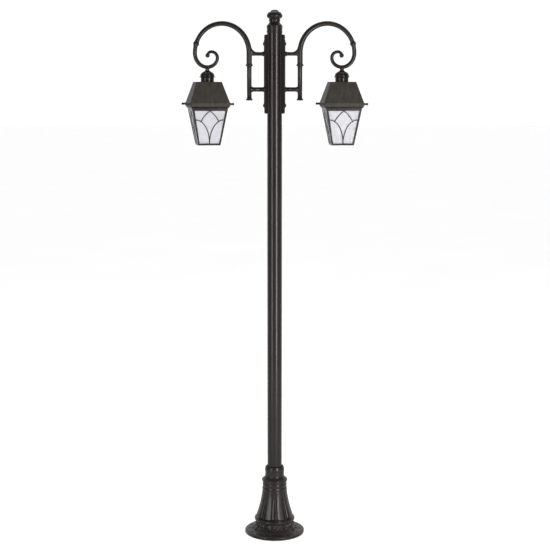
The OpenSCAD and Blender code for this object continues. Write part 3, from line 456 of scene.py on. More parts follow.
def keep_creases(mesh, degrees):
    """Marks as sharp every edge whose two faces lie at more than that angle to each other."""
    count = len(mesh.polygons)
    normals = np.zeros(3 * count)
    mesh.polygons.foreach_get("normal", normals)
    totals, edges = np.zeros(count, int), np.zeros(len(mesh.loops), int)
    mesh.polygons.foreach_get("loop_total", totals)
    mesh.loops.foreach_get("edge_index", edges)
    face = np.repeat(np.arange(count), totals)
    order = np.argsort(edges, kind="stable")
    edges, face = edges[order], face[order]
    pair = np.flatnonzero(edges[1:] == edges[:-1])
    normals = normals.reshape(-1, 3)
    bend = np.einsum("ij,ij->i", normals[face[pair]], normals[face[pair + 1]])
    sharp = np.zeros(len(mesh.edges), bool)
    sharp[edges[pair]] = bend < math.cos(math.radians(degrees))
    mesh.attributes.new("sharp_edge", "BOOLEAN", "EDGE").data.foreach_set("value", sharp)


def piece(name, skins, body, slot, nodes=(), crease=None):
    """Joins the skins into one mesh in metres, rides it on a body, and lets it stand for CAD nodes.
    With crease, edges that bend by more than that angle in degrees stay sharp."""
    start, points, corners, sizes = 0, [], [], []
    for p, quads, tris in skins:
        points.append(p)
        corners += [(quads + start).ravel(), (tris + start).ravel()]
        sizes += [np.full(len(quads), 4), np.full(len(tris), 3)]
        start += len(p)
    points, corners, sizes = np.concatenate(points), np.concatenate(corners), np.concatenate(sizes)
    mesh = bpy.data.meshes.new(name)
    mesh.vertices.add(len(points))
    mesh.vertices.foreach_set("co", (points * MM).astype(np.float32).ravel())
    mesh.loops.add(len(corners))
    mesh.loops.foreach_set("vertex_index", corners.astype(np.int32))
    mesh.polygons.add(len(sizes))
    mesh.polygons.foreach_set("loop_start", (np.cumsum(sizes) - sizes).astype(np.int32))
    mesh.polygons.foreach_set("use_smooth", np.ones(len(sizes), bool))
    mesh.update(calc_edges=True)
    if crease is not None:
        keep_creases(mesh, crease)
    mesh.materials.append(finishes[slot])
    thing = bpy.data.objects.new(name, mesh)
    bpy.context.scene.collection.objects.link(thing)
    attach(thing, body)
    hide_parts(*nodes)
    made.append((name, int((sizes - 2).sum())))
    return thing

# %% [markdown]
# ## The foot: flange, drum, torus and petalled bell
# The foot is one heavy casting. Its plain form is turned, and on that form sit two ornaments: eight
# petals with deep grooves between them up the bell, and a ring of leaves that spill from under the
# torus over the flange. They could be sculpted one by one, but a casting's ornament is a relief: a
# height above the turned form. So the outline is cut into even steps, turned into a grid, and each
# point is pushed out along the outline's normal by the height of the petals and leaves at that place.

# %% Outline of the foot
flange_r, _, neck_z = span("base_casting")[1]
PETALS, LEAVES, LEAF_LENGTH = 8, 16, 74.0
bell_foot, bell_neck = (92.4, 100.5), (tube_r + 26.35, neck_z - 8)
sag, rise = bell_foot[0] - bell_neck[0], bell_neck[1] - bell_foot[1]
bell_arc = (rise**2 + sag**2) / (2 * sag)


def bell_radius(z):
    """The bell's outline, a hollow arc that stands upright at the neck."""
    return bell_neck[0] + bell_arc - np.sqrt(bell_arc**2 - (bell_neck[1] - z) ** 2)


bell_z = np.linspace(bell_neck[1] - 40, 88, 14)
foot_out = rounded(
    [(58, neck_z), (bell_neck[0] - 0.6, neck_z, 0.8), (bell_neck[0] - 1, neck_z - 7, 3),
     (63, neck_z - 9, 1.5), (64.8, neck_z - 12, 2.5), (64.8, neck_z - 19, 2.5), (63.6, neck_z - 22, 1.5),
     (63.8, neck_z - 30, 1.5), (66.1, neck_z - 34, 3), (66.1, neck_z - 40, 3), (65.3, neck_z - 43, 2)]
    + [(bell_radius(z), z, 3) for z in bell_z]
    + [(95.5, 83.5, 2), (103, 83.2, 5), (106.6, 78, 5), (106.6, 70, 5), (101, 65.2, 3), (95, 65, 1.2),
       (94, 60, 3), (96, 38, 26), (119, 17.5, 14), (140, 16.2, 3), (flange_r - 9, 15.6, 1),
       (flange_r - 9.4, 13, 1), (flange_r - 0.1, 12.8, 3.5), (flange_r - 0.1, 0, 0.8), (flange_r - 4, 0)]
)
foot_in = [(84, 0), (84, 60), (82, 95), (62, 145), (54, 215), (40, 228), (38.4, 232), (38.4, neck_z)]
print("the foot's outline is", round(np.linalg.norm(np.diff(foot_out, axis=0), axis=1).sum()), "mm long")


# %% The relief of petals and leaves
def ease(x, low, high):
    """A soft step from 0 at low to 1 at high: 3 t t - 2 t t t."""
    t = np.clip((x - low) / (high - low), 0, 1)
    return t * t * (3 - 2 * t)


def wrapped(angle, count):
    """The angle as -1 to 1 across one of count equal sectors that start at the front."""
    sector = 2 * np.pi / count
    return ((angle + np.pi / 2) / sector % 1) * 2 - 1


def petals(angle, z):
    """Height of the petals: two crests and a shallow channel across, a round end below, a fade above."""
    u = np.abs(wrapped(angle, PETALS))
    flank = np.cos(np.pi / 2 * np.clip((u - 0.52) / 0.48, 0, 1)) ** 0.65
    channel = 1 - 0.09 * np.cos(np.pi / 2 * np.clip(u / 0.52, 0, 1)) ** 2
    end = 84 + 11 * (1 - np.sqrt(1 - np.clip(u, 0, 0.98) ** 2))
    tip = np.sqrt(1 - (1 - np.clip((z - end) / 9, 0, 1)) ** 2)
    depth = 8.5 * (1 - ease(z, 120, 238)) ** 0.6 * ease(z, 81, 85)
    return depth * (flank * channel * tip - 0.76)


def leaves(angle, along, length):
    """Height of the leaves: a blunt tongue with a midrib that swells under the torus and thins out to
    a point on the flange, with a small bud between two leaves. along runs down the outline."""
    w = ((angle + np.pi / 2) / (2 * np.pi / LEAVES) + 0.5) % 1 * 2 - 1
    t = np.clip(along / length, 0, 1)
    half = (0.6 + 0.3 * np.sin(np.pi * t)) * np.sqrt(1 - t**3) * (1 - 0.1 * np.abs(np.sin(4 * np.pi * t)))
    body = np.sqrt(np.clip(1 - (w / np.maximum(half, 0.02)) ** 2, 0, 1))
    swell = 3.4 - 1.2 * t + 5.6 * ease(along, 0, 19) * (1 - ease(along, 19, 29))
    rib = 0.9 * np.exp(-((w / 0.09) ** 2)) - 0.5 * np.cos(22 * (np.abs(w) + 2.2 * t))
    inside = (along > 0) & (along < length)
    bud = 2.6 * np.exp(-(((np.abs(w) - 1) / 0.16) ** 2)) * np.exp(-(((along - 0.62 * length) / 12) ** 2))
    return np.where(inside, ease(along, 0, 5) * (body * (swell + rib) + bud), 0)


# %% The foot's mesh
FOOT_ROWS, FOOT_SIDES, CLOSER_AT_GROOVES = 206, 432, 0.5
line = evenly(foot_out, FOOT_ROWS)
step = np.concatenate([[0], np.cumsum(np.linalg.norm(np.diff(line, axis=0), axis=1))])
way = headings(line)
normal = np.stack([-way[:, 1], way[:, 0]], -1)
under_torus = step[np.argmin(np.hypot(line[:, 0] - 95, line[:, 1] - 64))]
around = np.linspace(0, 2 * np.pi, FOOT_SIDES, endpoint=False)[None, :]
around = around - CLOSER_AT_GROOVES / PETALS * np.sin(PETALS * (around + np.pi / 2))
height = np.where(
    (line[:, 1:] < neck_z - 42) & (line[:, 1:] > 81),
    petals(around, line[:, 1:]),
    leaves(around, step[:, None] - under_torus, LEAF_LENGTH),
)
foot = np.empty((len(line), FOOT_SIDES, 2))
foot[...] = line[:, None] + normal[:, None] * height[..., None]
hollow = np.broadcast_to(np.array(foot_in, float)[:, None], (len(foot_in), FOOT_SIDES, 2))
foot = np.concatenate([foot, hollow])
grid = np.stack([foot[..., 0] * np.cos(around), foot[..., 0] * np.sin(around), foot[..., 1]], -1)
base = piece("foot_casting", [skin(grid, ring=True)], "post", "cast_bronze_coat", ["base_casting"])
print("the foot has", made[-1][1], "triangles")

# %% [markdown]
# ## Anchor holes
# Three bolts hold the foot down, so the flange has three holes. The grid has no place for a hole. The
# quickest clean way is a Boolean modifier with three pins, applied at once, so that no helper stays.

# %% Drill the flange
ANCHORS, ANCHOR_CIRCLE, ANCHOR_R = 3, 134.0, 7.0
pin = turned([(0, -5), (ANCHOR_R, -5), (ANCHOR_R, 40), (0, 40)], sides=32)
pins = []
for k in range(ANCHORS):
    at = math.radians(90 + 120 * k)
    middle = (ANCHOR_CIRCLE * math.cos(at), ANCHOR_CIRCLE * math.sin(at), 0)
    pins.append(placed(pin, about_z(90 + 120 * k), middle))


def drilled(thing, tools):
    """The piece less the tools' skins, as a plain mesh: the modifier's result replaces the mesh."""
    name = thing.data.name
    drill = piece("drill", tools, "post", "cast_bronze_coat")
    cut = thing.modifiers.new("drill", "BOOLEAN")
    cut.object, cut.operation, cut.solver = drill, "DIFFERENCE", "EXACT"
    ready = thing.evaluated_get(bpy.context.evaluated_depsgraph_get())
    mesh = bpy.data.meshes.new_from_object(ready)
    thing.modifiers.remove(cut)
    old, thing.data = thing.data, mesh
    bpy.data.meshes.remove(old)
    mesh.name = name
    mesh.materials.clear()
    mesh.materials.append(finishes["cast_bronze_coat"])
    spare = drill.data
    bpy.data.objects.remove(drill)
    bpy.data.meshes.remove(spare)
    made.pop()


drilled(base, pins)
print("drilled", ANCHORS, "holes, now", len(base.data.polygons), "faces")

# %% [markdown]
# ## Collar, tube, cap and finial
# Above the foot everything on the middle line is turned: the collar with its bead, sleeve and rounded
# shoulder, the long tube, the cap with two bands, and the finial, a mushroom over a neck roll. Each is
# an outline and one call. The small grooves between them are what reads as separate parts.

# %% The turned parts of the post
collar_z = span("base_collar")[0][2]
cap_z = span("post_cap")[0][2]
finial_z, top_z = span("finial")[0][2], span("finial")[1][2]
bore = tube_r + 0.2


def lifted(corners, z):
    """Corners of (radius, height above z, ease) at their real heights."""
    return [(r, z + h, *e) for r, h, *e in corners]


collar = [(bore, 0, 0.3), (63.8, 0, 0.8), (63.4, 1.6, 0.6), (62.4, 2, 0.5), (67.3, 2.2, 5.4),
          (67.3, 13.6, 5.4), (61.6, 14.6, 1), (50.8, 28.4, 7), (50.2, 40, 3), (50.2, 56.2, 0.5),
          (49.2, 57, 0.6), (51.4, 57.8, 2.2), (51.4, 67, 4), (50.2, 74, 5), (47, 82, 4),
          (43.4, 83.4, 2.4), (41, 79, 1.6), (40, 76, 0.4), (bore, 76, 0.3)]
tube = [(tube_r - 3.2, tube_low[2], 0.4), (tube_r, tube_low[2], 0.4), (tube_r, tube_high[2], 0.4),
        (tube_r - 3.2, tube_high[2], 0.4)]
cap = [(bore, 0, 0.3), (39.5, 0, 0.8), (39.4, 3.4, 0.5), (40.7, 4.2, 0.8), (40.7, 8.8, 0.8),
       (39.5, 9.8, 0.5), (39.5, 26, 0.5), (40.7, 27, 0.8), (40.7, 33.2, 0.8), (39.6, 34.2, 0.6),
       (39.4, 38.6, 2.5), (34, 43.6, 5), (27.6, 51, 4), (26.4, 54, 0.4), (5.2, 54, 0.3), (5.2, 34, 0.3),
       (bore, 34, 0.3)]
finial = [(0, 0), (26.3, 0, 0.6), (25.4, 1.6, 0.6), (28.6, 2.8, 5), (28.6, 15.6, 5), (26.6, 17, 0.6),
          (28.5, 17.6, 0.8), (37.2, 22.8, 2), (37.6, 24.4, 0.7), (36.6, 25.2, 0.5), (39.9, 26.6, 4),
          (39.6, 37, 9), (31.5, 48.6, 6), (23, 52, 1), (21.6, 53.2, 0.8), (18.6, 58.4, 5), (8, 61.8, 6),
          (0, 62)]
piece("collar", [turned(rounded(lifted(collar, collar_z), True), sides=144)], "post", "cast_bronze_coat",
      ["base_collar"])
piece("tube", [turned(rounded(tube, True), sides=144)], "post", "tube_bronze_coat", ["post_tube"])
piece("cap", [turned(rounded(lifted(cap, cap_z), True))], "post", "cast_bronze_coat", ["post_cap"])
piece("finial", [turned(rounded(lifted(finial, finial_z)))], "post", "cast_bronze_coat", ["finial"])
print("the finial tops out at", round(top_z), "mm")

# %% [markdown]
# ## Saddles and their bolts
# A saddle is the long plate that hugs the tube and carries one arm. Across, it is a blunt wedge; along
# its height it keeps that section and then steps in at both ends, like a turned-over leaf. So the
# section is carried up the post, and a second outline says how far out its face stands at each height.

# %% The right saddle, and the left one as its mirror
saddle_low, saddle_high = span("right_arm_saddle")
HEAD_R, SHANK_R, BARS_APART, UPPER_R, LOWER_R = 9.5, 5, 178.0, 9.5, 11.5
bolt_z = [span("saddle_bolts")[0][2] + HEAD_R, span("saddle_bolts")[1][2] - HEAD_R]
lower_z = (span("right_arm_lower_bar")[0][2] + span("right_arm_lower_bar")[1][2]) / 2
upper_z = lower_z + BARS_APART
bar_from, face_x, edge_x = 62.5, 54.5, 26.0
lean = math.degrees(math.acos(edge_x / bore))
inner = [(bore * math.cos(math.radians(a)), bore * math.sin(math.radians(a)))
         for a in np.linspace(lean, -lean, 9)]
wedge = rounded(
    inner + [(30, -30.6, 1), (45.5, -17.4, 3), (51.6, -14.2, 1.5), (face_x, -9, 2), (face_x, 9, 2),
             (51.6, 14.2, 1.5), (45.5, 17.4, 3), (30, 30.6, 1)], True, 3)
low, high = saddle_low[2], saddle_high[2]
stand = rounded(
    [(low, 38.8), (low, 51.8, 8), (low + 12, 52.9, 2), (low + 21, 52.9, 1), (low + 23, 51.4, 0.8),
     (low + 26, 53.4, 1.5), (low + 33, face_x, 4), (high - 31, face_x, 3), (high - 26, 53.6, 1.5),
     (high - 23.4, 51.3, 0.8), (high - 21, 53.2, 1.2), (high - 12, 53, 2), (high, 51.8, 8), (high, 38.8)])
reach_out = (stand[:, 1] - edge_x) / (face_x - edge_x)
is_inner = np.hypot(wedge[:, 0], wedge[:, 1]) < bore + 0.3
plate = np.empty((len(stand), len(wedge), 3))
plate[..., 0] = np.where(is_inner, wedge[:, 0], edge_x + (wedge[:, 0] - edge_x) * reach_out[:, None])
plate[..., 1] = wedge[:, 1]
plate[..., 2] = stand[:, :1]


def boss(radius, z):
    """The flared root of a bar on the saddle's face: 8 mm wider than the bar, turned along X."""
    flare = [(0, face_x - 3), (radius + 8, face_x - 3), (radius + 8, face_x - 0.6, 0.8),
             (radius + 1.6, face_x + 1.2, 4), (radius + 0.5, bar_from - 1, 1), (0, bar_from - 0.5)]
    return placed(turned(rounded(flare), sides=64), ALONG_X, (0, 0, z))


saddle = [skin(plate), boss(UPPER_R, upper_z), boss(LOWER_R, lower_z)]
dome = [(0, face_x - 1.5), (9.6, face_x - 1.5), (9.6, face_x + 0.6, 0.5), (8.2, face_x + 2.4, 2),
        (3.5, face_x + 4.9, 3), (0, face_x + 5)]
shank = turned([(0, -face_x), (SHANK_R, -face_x), (SHANK_R, face_x), (0, face_x)], sides=32)
heads = [placed(turned(rounded(dome), sides=48), ALONG_X, (0, 0, z)) for z in bolt_z]
shanks = [placed(shank, ALONG_X, (0, 0, z)) for z in bolt_z]


def sided(skins, side):
    """The skins as they are for the right side, mirrored for the left."""
    return skins if side > 0 else [placed(s, MIRROR_X) for s in skins]


def on_arms(name, skins, node):
    """One casting for each arm: the skins for the right arm, and mirrored for the left."""
    for word, side in SIDES.items():
        piece(f"{word}_{name}", sided(skins, side), "post", "cast_bronze_coat", [f"{word}_{node}"])


on_arms("saddle", saddle, "arm_saddle")
piece("saddle_bolt_heads", shanks + sided(heads, 1) + sided(heads, -1), "post", "coated_bolts",
      ["saddle_bolts"])
print("a saddle is", round(high - low), "mm long")

# %% [markdown]
# ## Arms: lower bar, upright and foot cap
# The lower bar runs straight into the upright, and the upright ends in a flared cap below. Bars could
# be plain cylinders, but castings are thicker where they meet, so the bar's outline swells into the
# upright over its last few millimetres.

# %% Lower bar, upright and foot cap
upright_x = (span("right_arm_foot_cap")[0][0] + span("right_arm_foot_cap")[1][0]) / 2
foot_cap_z = span("right_arm_foot_cap")[0][2]
ring_z = span("right_arm_upright")[1][2] - 18.0
UPRIGHT_R = 12.0
lower_bar = [(0, bar_from - 10), (LOWER_R, bar_from - 10), (LOWER_R, upright_x - 21, 5),
             (LOWER_R + 4.5, upright_x - 10, 4), (LOWER_R + 4.5, upright_x - 6), (0, upright_x - 5)]
upright = [(0, foot_cap_z + 10), (UPRIGHT_R, foot_cap_z + 10), (UPRIGHT_R, ring_z - 7, 1),
           (UPRIGHT_R + 1.1, ring_z - 5, 0.6), (UPRIGHT_R + 1.1, ring_z - 2.4, 0.6),
           (UPRIGHT_R - 0.4, ring_z - 1, 0.4), (UPRIGHT_R - 0.4, ring_z), (0, ring_z)]
foot_cap = lifted([(0, 0), (13, 0, 1), (14, 1.2, 0.5), (17.4, 1.4, 1.2), (17.5, 4.4, 1.4), (13.6, 9.4, 6),
                   (12.6, 13.2, 1), (0, 14)], foot_cap_z)
BAR_SIDES = 56
bar = placed(turned(rounded(lower_bar), sides=BAR_SIDES), ALONG_X, (0, 0, lower_z))
on_arms("lower_bar", [bar], "arm_lower_bar")
on_arms("upright", [turned(rounded(upright), (upright_x, 0), BAR_SIDES)], "arm_upright")
on_arms("foot_cap", [turned(rounded(foot_cap), (upright_x, 0), BAR_SIDES)], "arm_foot_cap")
print("the uprights stand", round(upright_x, 1), "mm out")

# %% [markdown]
# ## The scroll
# The arm rises from a ring, arches over and curls in to a ball, getting thinner all the way. A Bezier
# curve with a bevel would do, but the arch and the curl are quarters of ellipses, so the path is written
# as such: middle, half widths, and the angles it turns through. A round section is carried along it, and
# its size falls from root to tip, with a small bead near the end of the arch.

# %% Path and thickness of the scroll
reach = joint("right_lantern_swivel")["pos_m"][0] / MM
swivel_z = joint("right_lantern_swivel")["pos_m"][2] / MM
ARCH_RISE, ROOT_R, TIP_R, BALL_R, PER_RING = 146.0, 13.9, 7.3, 11.4, 5
arch_mid = (upright_x + reach + 62) / 2
arch_half = arch_mid - upright_x
spring_z, curl_low, curl_in, curl_in_z = upper_z + 5, upper_z - 66, reach - 51.5, upper_z - 20
curl_top, curl_top_z, curl_end, curl_end_z = reach - 21.5, upper_z + 10.5, reach - 2, upper_z - 8
quarters = [
    ((arch_mid, spring_z), (arch_half, ARCH_RISE), 180, 0, 30),
    ((reach, spring_z - 2), (arch_mid + arch_half - reach, spring_z - 2 - curl_low), 0, -90, 10),
    ((reach, curl_in_z), (reach - curl_in, curl_in_z - curl_low), -90, -180, 9),
    ((curl_top, curl_in_z), (curl_top - curl_in, curl_top_z - curl_in_z), 180, 90, 7),
    ((curl_top, curl_end_z), (curl_end - curl_top, curl_top_z - curl_end_z), 90, 0, 6),
]
all_rings = sum(q[4] for q in quarters)
ROOT_POINTS = 12
straight = np.linspace(ring_z + 8, spring_z, ROOT_POINTS)
path, share = [np.stack([np.full(ROOT_POINTS, upright_x), straight], -1)], [np.zeros(ROOT_POINTS)]
start = 0
for middle, half, a, b, rings in quarters:
    t = np.linspace(0, 1, rings * PER_RING + 1)[1:]
    turn = np.radians(a + (b - a) * t)
    path.append(np.stack([middle[0] + half[0] * np.cos(turn), middle[1] + half[1] * np.sin(turn)], -1))
    share.append((start + rings * t) / all_rings)
    start += rings
path, share = np.concatenate(path), np.concatenate(share)
BEAD_HALF, BEAD_RISE = 0.45, 4.6
bead_at = quarters[0][4] * 0.9 / all_rings
off = np.abs(share - bead_at) * all_rings
bead = np.where(off < BEAD_HALF, BEAD_RISE * np.sqrt(np.clip(1 - (off / BEAD_HALF) ** 2, 0, 1)), 0)
fillets = 1.6 * np.exp(-(((off - 0.62) / 0.16) ** 2))
thickness = ROOT_R + (TIP_R - ROOT_R) * share + bead + fillets
print("the scroll is", round(np.linalg.norm(np.diff(path, axis=0), axis=1).sum()), "mm long")

# %% [markdown]
# ## Ring, ball, neck and upper bar of the scroll arm
# The scroll's casting also holds the ring that caps the upright, the ball in the curl, the waisted neck
# that the lantern hangs from, and the upper bar. The bar meets the arch with a wide curved web above
# and a small one below, so its section is an ellipse whose top and bottom edges follow those curves.


# %% The scroll arm
def in_plane(points):
    """Points of (out, up) as points (out, 0, up) of the arm's upright plane."""
    return np.stack([points[:, 0], np.zeros(len(points)), points[:, 1]], -1)


def steady(direction, path):
    """One direction, repeated for each point of a path."""
    return np.tile(np.array(direction, float), (len(path), 1))


heading = headings(path)
scroll = carried(in_plane(path), steady((0, 1, 0), path),
                 in_plane(np.stack([-heading[:, 1], heading[:, 0]], -1)), circle(40), thickness)
ring = rounded(lifted([(0, 0), (13.2, 0, 0.6), (14.2, 1.6, 0.8), (18.1, 2.2, 2.6), (18.1, 9.6, 2.6),
                       (15.2, 11.6, 1.2), (14.6, 14.6, 1.2), (0, 15)], ring_z))
half_turn = np.linspace(-np.pi / 2, np.pi / 2, 25)
ball = turned(np.stack([np.abs(BALL_R * np.cos(half_turn)) * (np.abs(half_turn) < 1.57),
                        BALL_R * np.sin(half_turn)], -1), sides=40)
neck = rounded(lifted([(0, 0), (11.6, 0, 0.8), (11.8, 1.6, 0.8), (9.9, 5, 4), (11, 10, 4),
                       (16.6, 17.4, 3), (14, 22, 2), (0, 23)], swivel_z))
x = np.concatenate([np.linspace(bar_from - 3, bar_from + 9, 10)[:-1],
                    np.linspace(bar_from + 9, upright_x - 9, 34)])
WEB_R, FILLET_R, ROOT_FILLET = 30.0, 8.0, 5.0


def fillet(x, wall, radius):
    """How far a fillet lifts the bar's edge near a wall at x = wall: the radius less the root of
    radius squared minus the square of the way into the fillet."""
    near = np.clip(x - (wall - radius), 0, radius * 0.98)
    return radius - np.sqrt(radius**2 - near**2)


top = UPPER_R + fillet(x, upright_x - 11, WEB_R) + fillet(-x, 2 - bar_from, ROOT_FILLET)
under = UPPER_R + fillet(x, upright_x - 11, FILLET_R) + fillet(-x, 2 - bar_from, ROOT_FILLET)
wide = UPPER_R + 0.12 * fillet(x, upright_x - 11, WEB_R) + 0.8 * fillet(-x, 2 - bar_from, ROOT_FILLET)
section = circle(40)[None] * np.stack([wide, (top + under) / 2], -1)[:, None]
middle_line = in_plane(np.stack([x, upper_z + (top - under) / 2], -1))
upper_bar = carried(middle_line, steady((0, 1, 0), x), steady((0, 0, 1), x), section)
arm = [scroll, turned(ring, (upright_x, 0), 64), placed(ball, ALONG_X, (curl_end, 0, curl_end_z)),
       turned(neck, (reach, 0), 56), upper_bar]
on_arms("scroll", arm, "scroll_arm")
print("the scroll arm has", made[-1][1], "triangles")

# %% [markdown]
# ## Where the lanterns hang
# Each lantern is built once, round its own upright axis, and then turned a little on its stem and set
# under its scroll. How far it is turned can be read from the axis of its drop hinge.


# %% Heights and turns of the lanterns
crown_z = span("right_lantern_cap")[1][2]
roof_top_z = span("right_lantern_cap")[0][2]
hinge = joint("right_body_drop")
hinge_z = hinge["pos_m"][2] / MM
HALF_GAP = 0.15
eave_z, gallery_z, floor_z = hinge_z + HALF_GAP, hinge_z - HALF_GAP, span("right_lantern_frame")[0][2]
EAVE, ROOF_TOP, SKIRT, SHEET = 101.0, 64.5, 18.0, 2.5
HINGE_Y = EAVE + 6.0


def hung(skins, word):
    """The skins turned as that side's lantern is, and set on its axis."""
    axis = joint(word + "_body_drop")["axis"]
    turn = math.degrees(math.atan2(axis[1], axis[0]))
    return [placed(s, about_z(turn), (SIDES[word] * reach, 0, 0)) for s in skins]


def on_lanterns(name, skins, body, slot, node, crease=None):
    """One piece for each lantern: the skins hung on that side, riding on that side's body."""
    for word in SIDES:
        piece(f"{word}_{name}", hung(skins, word), f"{word}_{body}", slot, [f"{word}_{node}"], crease)


print("the lanterns hang from", round(crown_z), "down to", round(floor_z), "mm")

# %% [markdown]
# ## Cap and roof
# The roof is folded sheet: four sloping faces, an upright skirt, and a round hole in its flat top under
# the turned cap. A square outline with eased corners is carried round, outside and in, so the sheet has
# its real thickness. The two outer hinge knuckles at the back belong to the skirt.

# %% Lantern cap and roof
lantern_cap = lifted(
    [(6.6, 0, 0.3), (11.8, 0, 1.2), (13.4, -1.6, 1.2), (24.5, -7.6, 12), (33, -14.6, 6), (35.6, -22, 6),
     (36.2, -29, 1), (43, -31.2, 0.5), (43, -32.6, 0.5), (35, -33.8, 1), (33.6, -37.5, 3),
     (33.4, -50, 3), (34, -55.6, 0.8), (34, -56, 0.3), (29.5, -56, 0.3), (29.5, -37, 2),
     (20, -12.5, 3), (6.6, -9, 0.3)], crown_z)
skirt_z, flat_z, hole_r = eave_z + SKIRT, roof_top_z - 0.02, 24
roof = rounded([(EAVE, eave_z, 0.8), (EAVE, skirt_z, 4), (ROOF_TOP, flat_z, 1.8), (hole_r, flat_z, 0.4),
                (hole_r, roof_top_z - SHEET, 0.4), (ROOF_TOP - 1.8, roof_top_z - SHEET, 0.6),
                (EAVE - SHEET, skirt_z, 2), (EAVE - SHEET, eave_z, 0.8)], True)
corner = np.where(roof[:, 0] < hole_r + 6, roof[:, 0] * 0.999, 1.6)
roof = np.concatenate([roof, corner[:, None]], 1)


def knuckle(start, stop):
    """One knuckle of the drop hinge, a turned barrel along X round its pin."""
    barrel = rounded([(2.1, start, 0.2), (4.5, start, 0.5), (4.5, stop, 0.5), (2.1, stop, 0.2)], True)
    return placed(turned(barrel, sides=32), ALONG_X, (0, HINGE_Y, hinge_z))


CREASE = 32
ears = [knuckle(20.3, 40), knuckle(-40, -20.3)]
ears += [block((a, EAVE - 1.2, eave_z + 0.1), (a + 19.7, HINGE_Y, eave_z + 7), 0.8) for a in (20.3, -40)]
on_lanterns("cap", [turned(rounded(lantern_cap, True))], "lantern", "cast_bronze_coat", "lantern_cap")
on_lanterns("roof", [squared(roof)] + ears, "lantern", "sheet_bronze_coat", "lantern_roof", CREASE)
print("the roof is", 2 * EAVE, "mm across the eave")

# %% [markdown]
# ## The glazed body
# Four sloping walls meet at the corner posts. Each wall is a frame round a window, mitred at its four
# corners like a picture frame: the section of the moulding is placed at each corner, and the corners
# are joined. The posts grow out of the walls' sides, so no separate bars are needed, and a moulded
# gallery closes the top and a foot ring the bottom.

# %% A wall's own frame
BODY_TOP, BODY_FOOT, GALLERY, WALL, GLASS = 91.5, 56.5, 98.0, 3.0, 3.0
body_top_z = gallery_z - 7.5
body_rise = body_top_z - floor_z
tilt = math.atan((BODY_TOP - BODY_FOOT) / body_rise)
slope_h = body_rise / math.cos(tilt)
window_low, window_high = 9 / math.cos(tilt), slope_h - 13 / math.cos(tilt)
WINDOW_TOP, WINDOW_FOOT = BODY_TOP - 13.5, BODY_FOOT - 7.0


def on_wall(points, k):
    """Points of (along the wall, depth into the lantern, up the slope) on wall k: leaned out about X
    by the tilt, moved out to the foot's edge, and turned by a quarter turn for each wall."""
    c, s = math.cos(tilt), math.sin(tilt)
    lean = np.array([[1, 0, 0], [0, c, -s], [0, s, c]])
    out = points @ lean.T + np.array([0, -BODY_FOOT, floor_z])
    return out @ np.array(about_z(90 * k)).T


def wall_skins(shapes):
    """Skins written in a wall's own frame, on all four walls."""
    return [outward(on_wall(p, k), q, t) for k in range(4) for p, q, t in shapes]


# %% The frame of posts, gallery and foot
outer = np.array([(-BODY_FOOT, 0), (BODY_FOOT, 0), (BODY_TOP, slope_h), (-BODY_TOP, slope_h)])
window = np.array([(-WINDOW_FOOT, window_low), (WINDOW_FOOT, window_low), (WINDOW_TOP, window_high),
                   (-WINDOW_TOP, window_high)])
moulding = [(0, 0), (0.45, 0), (0.86, 0), (0.95, 0.25), (1, 0.9), (1, 2.6), (0.97, WALL), (0.5, WALL),
            (0, WALL)]
rail = np.empty((4, len(moulding), 3))
for n, (toward, depth) in enumerate(moulding):
    edge = outer + (window - outer) * toward
    mitre = np.sign(outer[:, 0]) * depth * (1 - toward)
    rail[:, n] = np.stack([edge[:, 0] - mitre, np.full(4, depth), edge[:, 1]], -1)
wall = skin(rail, ring=True)
gallery = rounded([(93.5, gallery_z, 0.4), (93.5, gallery_z - 2.6, 0.8), (GALLERY, gallery_z - 3, 0.8),
                   (GALLERY, gallery_z - 5.2, 1), (94, body_top_z + 0.8, 1.5),
                   (BODY_TOP + 0.4, body_top_z, 0.8), (BODY_TOP - 3, body_top_z - 0.5, 0.4),
                   (BODY_TOP - 3, gallery_z, 0.4)], True)
foot_ring = rounded([(BODY_FOOT + 0.6, floor_z, 0.9), (BODY_FOOT + 0.9, floor_z + 3.4, 0.9),
                     (BODY_FOOT - 2.6, floor_z + 4.2, 0.5), (BODY_FOOT - 3, floor_z + 2.9, 0.5),
                     (BODY_FOOT - 12, floor_z + 2.9, 0.4), (BODY_FOOT - 12, floor_z, 0.4)], True)
RING_CORNER, LUG_X, SCREW_Y = 1.2, 94, 88
rings = [squared(np.concatenate([r, np.full((len(r), 1), RING_CORNER)], 1)) for r in (gallery, foot_ring)]
lugs = [block((x * LUG_X - 2, y * SCREW_Y - 6, gallery_z - 3.6),
              (x * LUG_X + 2, y * SCREW_Y + 6, gallery_z + 19), 0.8) for x in (-1, 1) for y in (-1, 1)]
leaf = block((-20, GALLERY - 2, body_top_z + 0.2), (20, HINGE_Y, gallery_z - 0.1), 0.8)
on_lanterns("frame", wall_skins([wall]) + rings + lugs + [knuckle(-20, 20), leaf], "glazed_body",
            "cast_bronze_coat", "lantern_frame", CREASE)
print("the glazed body leans out by", round(math.degrees(tilt), 1), "degrees")

# %% [markdown]
# ## Rippled panes
# Old-style lantern glass is not quite flat. Bump alone would show that only in the gloss, and is lost
# where a mesh is used without its material, so the ripple is in the surface: a few slow waves of a
# fifth of a millimetre, in both faces alike.


# %% Panes with their ripple
def ripple(x, h, k):
    """Slow waves, different on each wall: three sines whose crests run in three directions."""
    waves = (0.16 * x + 0.05 * h + k, 0.11 * h - 0.07 * x + 2 * k, 0.23 * h + 0.19 * x - k)
    return 0.09 * sum(np.sin(w) for w in waves)


